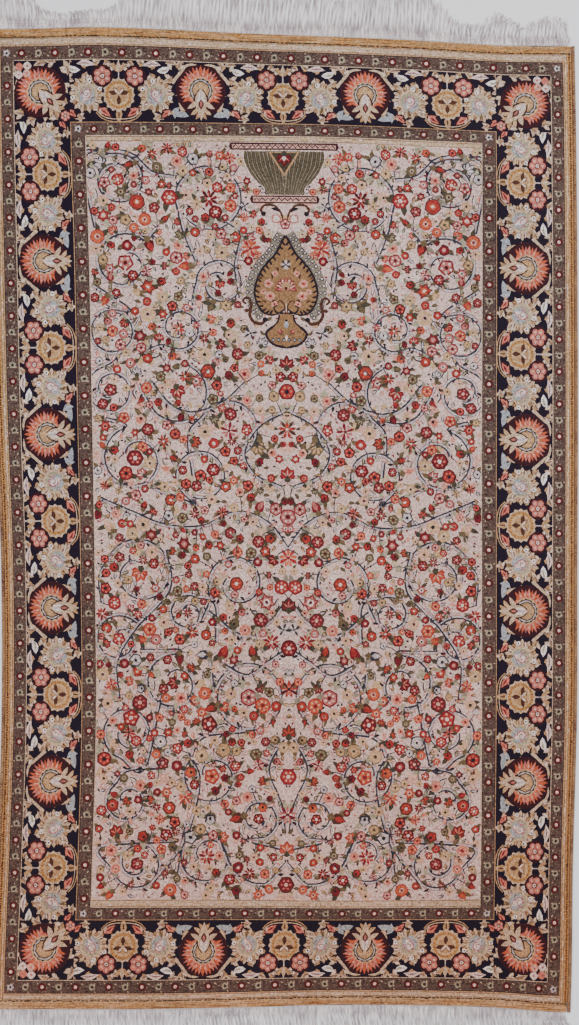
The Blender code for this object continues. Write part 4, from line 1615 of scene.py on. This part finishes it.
    def _stripes(self) -> Mosaic:
        """The plain stripes: streaked and cream at the outer edge, and cream at the field's ends."""
        w, h, f = self.plan.half_width, self.plan.half_length, self.plan.field_side
        side, top, bottom = SIDE_BANDS, TOP_BANDS, BOTTOM_BANDS
        low, high = -h + bottom.edge, h - top.edge
        x = w - side.guard
        parts = [
            self._stripe(x, w - side.cream, low, high, Silk.WHEAT),
            self._stripe(w - side.cream, w - side.edge, low, high, Silk.GOLD),
            self._stripe(side.cream - w, side.guard - w, low, high, Silk.WHEAT),
            self._stripe(side.edge - w, side.cream - w, low, high, Silk.GOLD),
            self._stripe(-x, x, h - top.guard, high, Silk.CREAM),
            self._stripe(-x, x, low, -h + bottom.guard, Silk.CREAM),
            self._stripe(-f, f, self.plan.field_top, h - top.inner_cream, Silk.CREAM),
            self._stripe(-f, f, -h + bottom.inner_cream, self.plan.field_bottom, Silk.CREAM),
        ]
        return Mosaic.joined(parts)

    @staticmethod
    def _stripe(x0: float, x1: float, y0: float, y1: float, silk: Silk) -> Mosaic:
        """One stripe with the short streaks of its knots, on a gold one as a broken dark line."""
        draw = np.random.default_rng(17)
        motif = Motif()
        upright = y1 - y0 > x1 - x0
        low, high = (y0, y1) if upright else (x0, x1)
        left, right = (x0, x1) if upright else (y0, y1)
        gold = silk is Silk.GOLD
        for start in np.arange(low, high, 3.4 if gold else 5.0):
            middle = (left + right) / 2 + draw.normal(0, 0.2) if gold else draw.uniform(left, right)
            length, wide = draw.uniform(2.0, 3.2) if gold else draw.uniform(4, 12), 2.2 if gold else 0.9
            streak = np.array([(middle - wide / 2, start), (middle + wide / 2, start + 0.3),
                               (middle + wide / 2.4, start + length), (middle - wide / 2, start + length)])
            shade = draw.choice(3)
            shades = (Silk.MAROON, Silk.BROWN, Silk.BROWN) if gold else (Silk.SHELL, Silk.SAND, Silk.SAND)
            motif.add(streak if upright else streak[:, ::-1], shades[shade])
        if not gold:
            for place in (left + 0.9, right - 0.9):
                line = rectangle(place - 0.4, low - 1, place + 0.4, high + 1, EDGE_STEP)
                motif.add(line if upright else line[:, ::-1], Silk.BRONZE)
        return Mosaic.lay((x0, x1), (y0, y1), silk, motif)


def grid_mesh(name: str, rows: np.ndarray, closed: bool = False) -> bpy.types.Mesh:
    """A mesh from rows of points.

    Args:
        name: the mesh's name.
        rows: an array of rows, points and coordinates.
        closed: whether each row's last point joins its first.

    Returns:
        The mesh, with no ends.
    """
    count, width = rows.shape[:2]
    index = np.arange(count * width).reshape(count, width)
    across = width if closed else width - 1
    nxt = (np.arange(across) + 1) % width
    quads = np.stack([index[:-1, :across], index[:-1][:, nxt], index[1:][:, nxt], index[1:, :across]], axis=-1)
    mesh = bpy.data.meshes.new(name)
    mesh.from_pydata(rows.reshape(-1, 3), [], quads.reshape(-1, 4))
    return mesh


def add_piece(name: str, mesh: bpy.types.Mesh, material: bpy.types.Material) -> bpy.types.Object:
    """Links a mesh as a piece that rides on the rug."""
    mesh.materials.append(material)
    piece = bpy.data.objects.new(name, mesh)
    bpy.context.scene.collection.objects.link(piece)
    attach(piece, "root")
    log.info("%s: %d faces", name, len(mesh.polygons))
    return piece


@dataclass
class RugCloth:
    """The woven cloth under the pile, with its flat-woven gold ends: one thin closed sheet."""

    plan: RugPlan
    columns: int = 34
    rows: int = 60
    pile_base: float = 3.45 * MM
    kilim_height: float = 1.6 * MM
    underside: float = 0.15 * MM
    kilim_depth: float = 12.8

    def build(self) -> bpy.types.Object:
        """Makes the sheet, which stands for the solid body."""
        plan = self.plan
        inset = SIDE_BANDS.edge
        across = np.linspace(-plan.half_width + inset, plan.half_width - inset, self.columns + 1)
        h, k = plan.half_length, self.kilim_depth
        middle = np.linspace(-h + k + 1, h - k - 1, self.rows + 1)
        along = np.concatenate([[-h, -h + k * 0.5, -h + k], middle, [h - k, h - k * 0.5, h]])
        top = np.full(len(along), self.pile_base)
        top[:3] = self.kilim_height
        top[-3:] = self.kilim_height
        gx, gy = np.meshgrid(across, along)
        flat = plan.place(np.column_stack([gx.ravel(), gy.ravel()]))
        upper = np.column_stack([flat, np.repeat(top, len(across))]).reshape(len(along), len(across), 3)
        lower = upper.copy()
        lower[:, :, 2] = self.underside
        ring = np.concatenate([upper, lower[:, ::-1]], axis=1)
        mesh = grid_mesh("rug_cloth", ring, closed=True)
        self._cap(mesh, len(across), len(along))
        material = YarnFinish(Silk.TAUPE, Silk.BROWN).material("foundation_silk")
        piece = add_piece("rug_cloth", mesh, material)
        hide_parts("rug_body")
        return piece

    @staticmethod
    def _cap(mesh: bpy.types.Mesh, width: int, count: int) -> None:
        """Closes the sheet's two cut ends."""
        faces = [tuple(polygon.vertices) for polygon in mesh.polygons]
        verts = np.empty(len(mesh.vertices) * 3, dtype=np.float32)
        mesh.vertices.foreach_get("co", verts)
        ring = 2 * width
        for first, ahead in ((0, False), ((count - 1) * ring, True)):
            for i in range(width - 1):
                quad = (first + i, first + i + 1, first + ring - 2 - i, first + ring - 1 - i)
                faces.append(quad if ahead else quad[::-1])
        points = verts.reshape(-1, 3)
        mesh.clear_geometry()
        mesh.from_pydata(points, [], faces)


@dataclass
class WovenEnds:
    """The flat-woven ends beyond the pile: gold wefts with a broken dark line beside the knots."""

    plan: RugPlan
    finish: PileFinish
    height: float = 1.75 * MM
    depth: float = 12.8
    line: tuple[float, float] = (9.6, 12.6)

    def build(self) -> bpy.types.Object:
        """Builds both ends as one piece."""
        w, h = self.plan.half_width - SIDE_BANDS.edge, self.plan.half_length
        upper = Mosaic.lay((-w, w), (h - self.depth, h), Silk.GOLD, self._wefts(w, 23))
        lower = Mosaic.lay((-w, w), (h - self.depth, h), Silk.WHEAT, self._wefts(w, 29))
        mosaic = Mosaic.joined([upper, lower.mapped(lambda points: points * np.array([1.0, -1.0]))])
        return MosaicPiece("woven_ends", self.plan, self.height).build(mosaic, self.finish.material("woven_ends_looks"))

    def _wefts(self, half_width: float, seed: int) -> Motif:
        """Long thin streaks of the wefts, and the dark line inside them."""
        draw = np.random.default_rng(seed)
        motif = Motif()
        h = self.plan.half_length
        for _ in range(420):
            x, y = draw.uniform(-half_width, half_width), h - draw.uniform(0.4, 9.4)
            silk = (Silk.GOLD, Silk.WHEAT, Silk.SAND, Silk.SAND, Silk.GOLD, Silk.BRONZE)[draw.integers(6)]
            motif.add(rectangle(x, y, x + draw.uniform(7, 46), y + draw.uniform(0.5, 0.9), 20.0), silk)
        low, high = h - self.line[1], h - self.line[0]
        for x in np.arange(-half_width, half_width, 5.6):
            length = draw.uniform(3.4, 6.4)
            silk = (Silk.BROWN, Silk.MOSS, Silk.BROWN, Silk.OLIVE)[draw.integers(4)]
            lift = draw.normal(0, 0.25)
            motif.add(rectangle(x, low + 0.5 + lift, x + length, high - 0.6 + lift), silk)
        return motif


@dataclass
class Selvedges:
    """The long edges, overcast turn by turn with gold silk."""

    plan: RugPlan
    width: float = 5.5
    height: float = 3.6 * MM
    turn_pitch: float = 3.0
    sides: int = 4

    def build(self) -> list[bpy.types.Object]:
        """Builds both edges as ridged wrapped cords."""
        material = YarnFinish(Silk.UMBER, Silk.BROWN, (260.0, 700.0, 260.0)).material("overcast_gold_silk")
        return [
            self._edge("selvedge_left", -1.0, material),
            self._edge("selvedge_right", 1.0, material),
        ]

    def _edge(self, node: str, across: float, material: bpy.types.Material) -> bpy.types.Object:
        """One edge: a cord whose section swells at each turn of the yarn."""
        h = self.plan.half_length
        steps = round(2 * h / self.turn_pitch) * 2
        along = np.linspace(-h, h, steps + 1)
        middle = across * (self.plan.half_width - self.width / 2)
        angle = np.linspace(0, math.tau, self.sides * 2, endpoint=False)
        swell = np.where(np.arange(steps + 1) % 2, 1.0, 0.84)
        lean = np.where(np.arange(steps + 1) % 2, 0.0, 0.0)
        x = middle + np.outer(swell, np.cos(angle)) * self.width / 2
        y = along[:, None] + lean[:, None] + np.sin(angle)[None] * 0.5
        flat = self.plan.place(np.column_stack([x.ravel(), y.ravel()]))
        z = self.height / 2 + np.outer(swell, np.sin(angle)) * (self.height / 2 - 0.05 * MM)
        rows = np.column_stack([flat, z.ravel()]).reshape(steps + 1, len(angle), 3)
        mesh = grid_mesh(node + "_wrap", rows, closed=True)
        mesh.shade_smooth()
        piece = add_piece(node + "_wrap", mesh, material)
        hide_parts(node)
        return piece


class FringeStation(NamedTuple):
    """How long the fringe is at a place across the rug, and how far its tips lean to the right."""

    across: float
    length: float
    sway: float


@dataclass
class Fringe:
    """The warp ends of one end of the rug: a knotted root and many fine loose strands."""

    plan: RugPlan
    node: str
    at_top: bool
    stations: tuple[FringeStation, ...]
    seed: int
    strands: int = 1500
    knots: int = 230
    segments: int = 7

    def build(self) -> list[bpy.types.Object]:
        """Builds the knotted root, which replaces the solid fringe, and the strands on it."""
        # The dark pearl streaks are partly the fringe's own mauve-grey and partly painted shade, standing in for the
        # shadows in the gaps between strands.
        finish = YarnFinish(Silk.WHITE, Silk.PEARL, (420.0, 60.0, 260.0), roughness=0.6)
        material = finish.material(self.node + "_silk")
        root = add_piece(self.node + "_knots", self._knot_mesh(), material)
        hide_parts(self.node)
        loose = add_piece(self.node + "_strands", self._strand_mesh(), material)
        return [root, loose]

    def _outward(self) -> float:
        """Which way the fringe runs along y."""
        return 1.0 if self.at_top else -1.0

    def _tube(self, paths: np.ndarray, radii: np.ndarray, sides: int) -> tuple[np.ndarray, np.ndarray]:
        """Closed three- or four-sided threads along many paths.

        Args:
            paths: an array of threads, points and coordinates, in metres.
            radii: an array of threads and points.
            sides: how many sides a thread has.

        Returns:
            The threads' points and faces.
        """
        count, length = paths.shape[:2]
        run = np.gradient(paths, axis=1)
        run /= np.linalg.norm(run, axis=2, keepdims=True)
        side = np.cross(run, np.array([0.0, 0.0, 1.0]))
        side /= np.maximum(np.linalg.norm(side, axis=2, keepdims=True), 1e-9)
        up = np.cross(side, run)
        angle = np.arange(sides) * math.tau / sides + math.pi / 2
        ring = (
            side[:, :, None] * np.cos(angle)[None, None, :, None]
            + up[:, :, None] * np.sin(angle)[None, None, :, None]
        ) * radii[:, :, None, None]
        points = paths[:, :, None] + ring
        index = np.arange(count * length * sides).reshape(count, length, sides)
        nxt = (np.arange(sides) + 1) % sides
        quads = np.stack(
            [index[:, :-1], index[:, :-1][:, :, nxt], index[:, 1:][:, :, nxt], index[:, 1:]], axis=-1
        ).reshape(-1, 4)
        caps = np.concatenate([index[:, 0, ::-1], index[:, -1]])
        return points.reshape(-1, 3), [*quads.tolist(), *caps.tolist()]

    def _knot_mesh(self) -> bpy.types.Mesh:
        """Two rows of slanting knots, one behind the other."""
        draw = np.random.default_rng(self.seed + 100)
        outward = self._outward()
        w = self.plan.half_width - SIDE_BANDS.edge - 2
        edge = self.plan.half_length
        pitch = 2 * w / self.knots
        paths = []
        share = np.linspace(0, 1, 5)
        for row, (start, reach, lean) in enumerate(((0.6, 6.0, 2.6), (5.2, 6.4, 2.2))):
            for knot in range(self.knots):
                x = -w + (knot + 0.5 + 0.5 * row) * pitch + draw.uniform(-0.3, 0.3)
                across = x + lean * (share - 0.5) * 2
                along = edge + start + reach * share + draw.uniform(-0.4, 0.4)
                flat = self.plan.place(np.column_stack([across, outward * along]))
                z = (1.1 + 0.7 * np.sin(math.pi * share)) * MM
                paths.append(np.column_stack([flat, z]))
        paths = np.array(paths)
        radii = np.tile((0.55 + 0.45 * np.sin(math.pi * share)) * 1.15 * MM, (len(paths), 1))
        points, faces = self._tube(paths, radii, 5)
        mesh = bpy.data.meshes.new(self.node + "_knots")
        mesh.from_pydata(points, [], faces)
        mesh.shade_smooth()
        return mesh

    def _strand_mesh(self) -> bpy.types.Mesh:
        """Loose strands gathered in locks, waving and crossing a little on the floor."""
        draw = np.random.default_rng(self.seed)
        outward = self._outward()
        w = self.plan.half_width - SIDE_BANDS.edge - 2
        edge = self.plan.half_length
        share = np.linspace(0, 1, self.segments)
        locks = 150
        lock_sway = np.cumsum(draw.normal(0, 1.2, locks))
        lock_sway -= np.convolve(lock_sway, np.ones(15) / 15, mode="same")
        lock_long = draw.uniform(0.88, 1.08, locks)
        paths, radii = [], []
        for strand in range(self.strands):
            x = -w + 2 * w * (strand + draw.uniform(0, 1)) / self.strands
            lock = min(int((x + w) / (2 * w) * locks), locks - 1)
            middle = -w + 2 * w * (lock + 0.5) / locks
            at = np.array([x])
            length = float(station_curve(self.stations, "length", at)[0]) * lock_long[lock]
            length *= draw.uniform(0.8, 1.05)
            sway = float(station_curve(self.stations, "sway", at)[0]) + lock_sway[lock] + draw.normal(0, 1.3)
            gather = (middle - x) * 0.8
            wave = draw.normal(0, 0.9) * np.sin(math.pi * share * draw.uniform(1.0, 2.4) + draw.uniform(0, 6))
            across = x + gather * np.sin(math.pi * share) + sway * share**1.7 + wave * share
            along = edge + 8.0 + length * share
            flat = self.plan.place(np.column_stack([across, outward * np.full_like(along, edge)]))
            flat[:, 1] += outward * (along - edge) * MM
            lift = draw.uniform(0.2, 2.4)
            z = (0.35 + lift * (1 - share) ** 1.2 + 0.25 * abs(draw.normal()) * np.sin(math.pi * share)) * MM
            paths.append(np.column_stack([flat, z]))
            radii.append((0.56 - 0.30 * share) * draw.uniform(0.75, 1.3) * MM)
        points, faces = self._tube(np.array(paths), np.array(radii), 3)
        mesh = bpy.data.meshes.new(self.node + "_strands")
        mesh.from_pydata(points, [], faces)
        mesh.shade_smooth()
        return mesh


@dataclass(frozen=True)
class Studio:
    """A pale floor, soft lamps and a camera straight above the rug."""

    middle: tuple[float, float]
    view_height: float = 1.4145
    distance: float = 2.6
    sensor: float = 36.0

    def build(self) -> None:
        """Sets up the floor, the lamps and the camera."""
        self._floor()
        self._lamps()
        self._camera()

    def _floor(self) -> None:
        """A plain pale floor."""
        bpy.ops.mesh.primitive_plane_add(size=12.0, location=(0, 0, 0))
        floor = bpy.context.object
        floor.name = "studio_floor"
        nodes = NodeSheet("pale_floor")
        nodes.shader.inputs["Base Color"].default_value = (0.78, 0.77, 0.80, 1.0)
        nodes.shader.inputs["Roughness"].default_value = 0.7
        floor.data.materials.append(nodes.material)

    def _lamps(self) -> None:
        """A broad key lamp from the upper right and a weak fill from the left."""
        for name, place, size, power in (
            ("key_lamp", (1.1, 1.0, 2.6), 2.2, 84.0),
            ("fill_lamp", (-1.2, -1.5, 2.4), 2.6, 66.0),
        ):
            lamp = bpy.data.lights.new(name, "AREA")
            lamp.size = size
            lamp.energy = power
            holder = bpy.data.objects.new(name, lamp)
            holder.location = place
            holder.rotation_euler = Vector(place).to_track_quat("Z", "Y").to_euler()
            bpy.context.scene.collection.objects.link(holder)
        world = bpy.data.worlds.new("soft_room")
        world.use_nodes = True
        world.node_tree.nodes["Background"].inputs["Color"].default_value = (0.95, 0.96, 1.0, 1.0)
        world.node_tree.nodes["Background"].inputs["Strength"].default_value = 0.55
        bpy.context.scene.world = world

    def _camera(self) -> None:
        """A camera that looks straight down at the rug."""
        data = bpy.data.cameras.new("overhead")
        data.sensor_width = self.sensor
        data.lens = self.sensor * self.distance / self.view_height
        data.clip_end = 50.0
        camera = bpy.data.objects.new("overhead", data)
        camera.location = (*self.middle, self.distance)
        bpy.context.scene.collection.objects.link(camera)
        bpy.context.scene.camera = camera


TOP_FRINGE = (
    FringeStation(-417, 48, -7), FringeStation(-345, 44, -5), FringeStation(-314, 20, -4),
    FringeStation(-261, 17, -4), FringeStation(-232, 22, -3), FringeStation(-205, 43, 1),
    FringeStation(-60, 52, 4), FringeStation(100, 55, 6), FringeStation(205, 52, 3),
    FringeStation(228, 28, 2), FringeStation(256, 22, 4), FringeStation(285, 38, 7),
    FringeStation(325, 21, 5), FringeStation(360, 33, 4), FringeStation(399, 24, 3),
)
BOTTOM_FRINGE = (
    FringeStation(-417, 46, 6), FringeStation(-180, 44, 8), FringeStation(-85, 36, 6),
    FringeStation(-50, 20, 3), FringeStation(-10, 38, 6), FringeStation(30, 40, 7),
    FringeStation(60, 24, 8), FringeStation(110, 40, 9), FringeStation(290, 42, 11),
    FringeStation(330, 20, 6), FringeStation(399, 16, 3),
)


def main() -> None:
    """Builds the rug's pieces in order, then the studio."""
    logging.basicConfig(level=logging.INFO, format="%(message)s")
    plan = RugPlan()
    cloth = RugCloth(plan).build()
    pile = PileZones(plan, PileFinish()).build()
    edges = Selvedges(plan).build()
    top = Fringe(plan, "fringe_top", True, TOP_FRINGE, 21).build()
    bottom = Fringe(plan, "fringe_bottom", False, BOTTOM_FRINGE, 22).build()
    details = [*pile, WovenEnds(plan, PileFinish()).build(), *edges, *top, *bottom]
    middle = plan.picture_middle()
    Studio((float(middle[0]), float(middle[1]))).build()


if __name__ == "__main__":
    main()
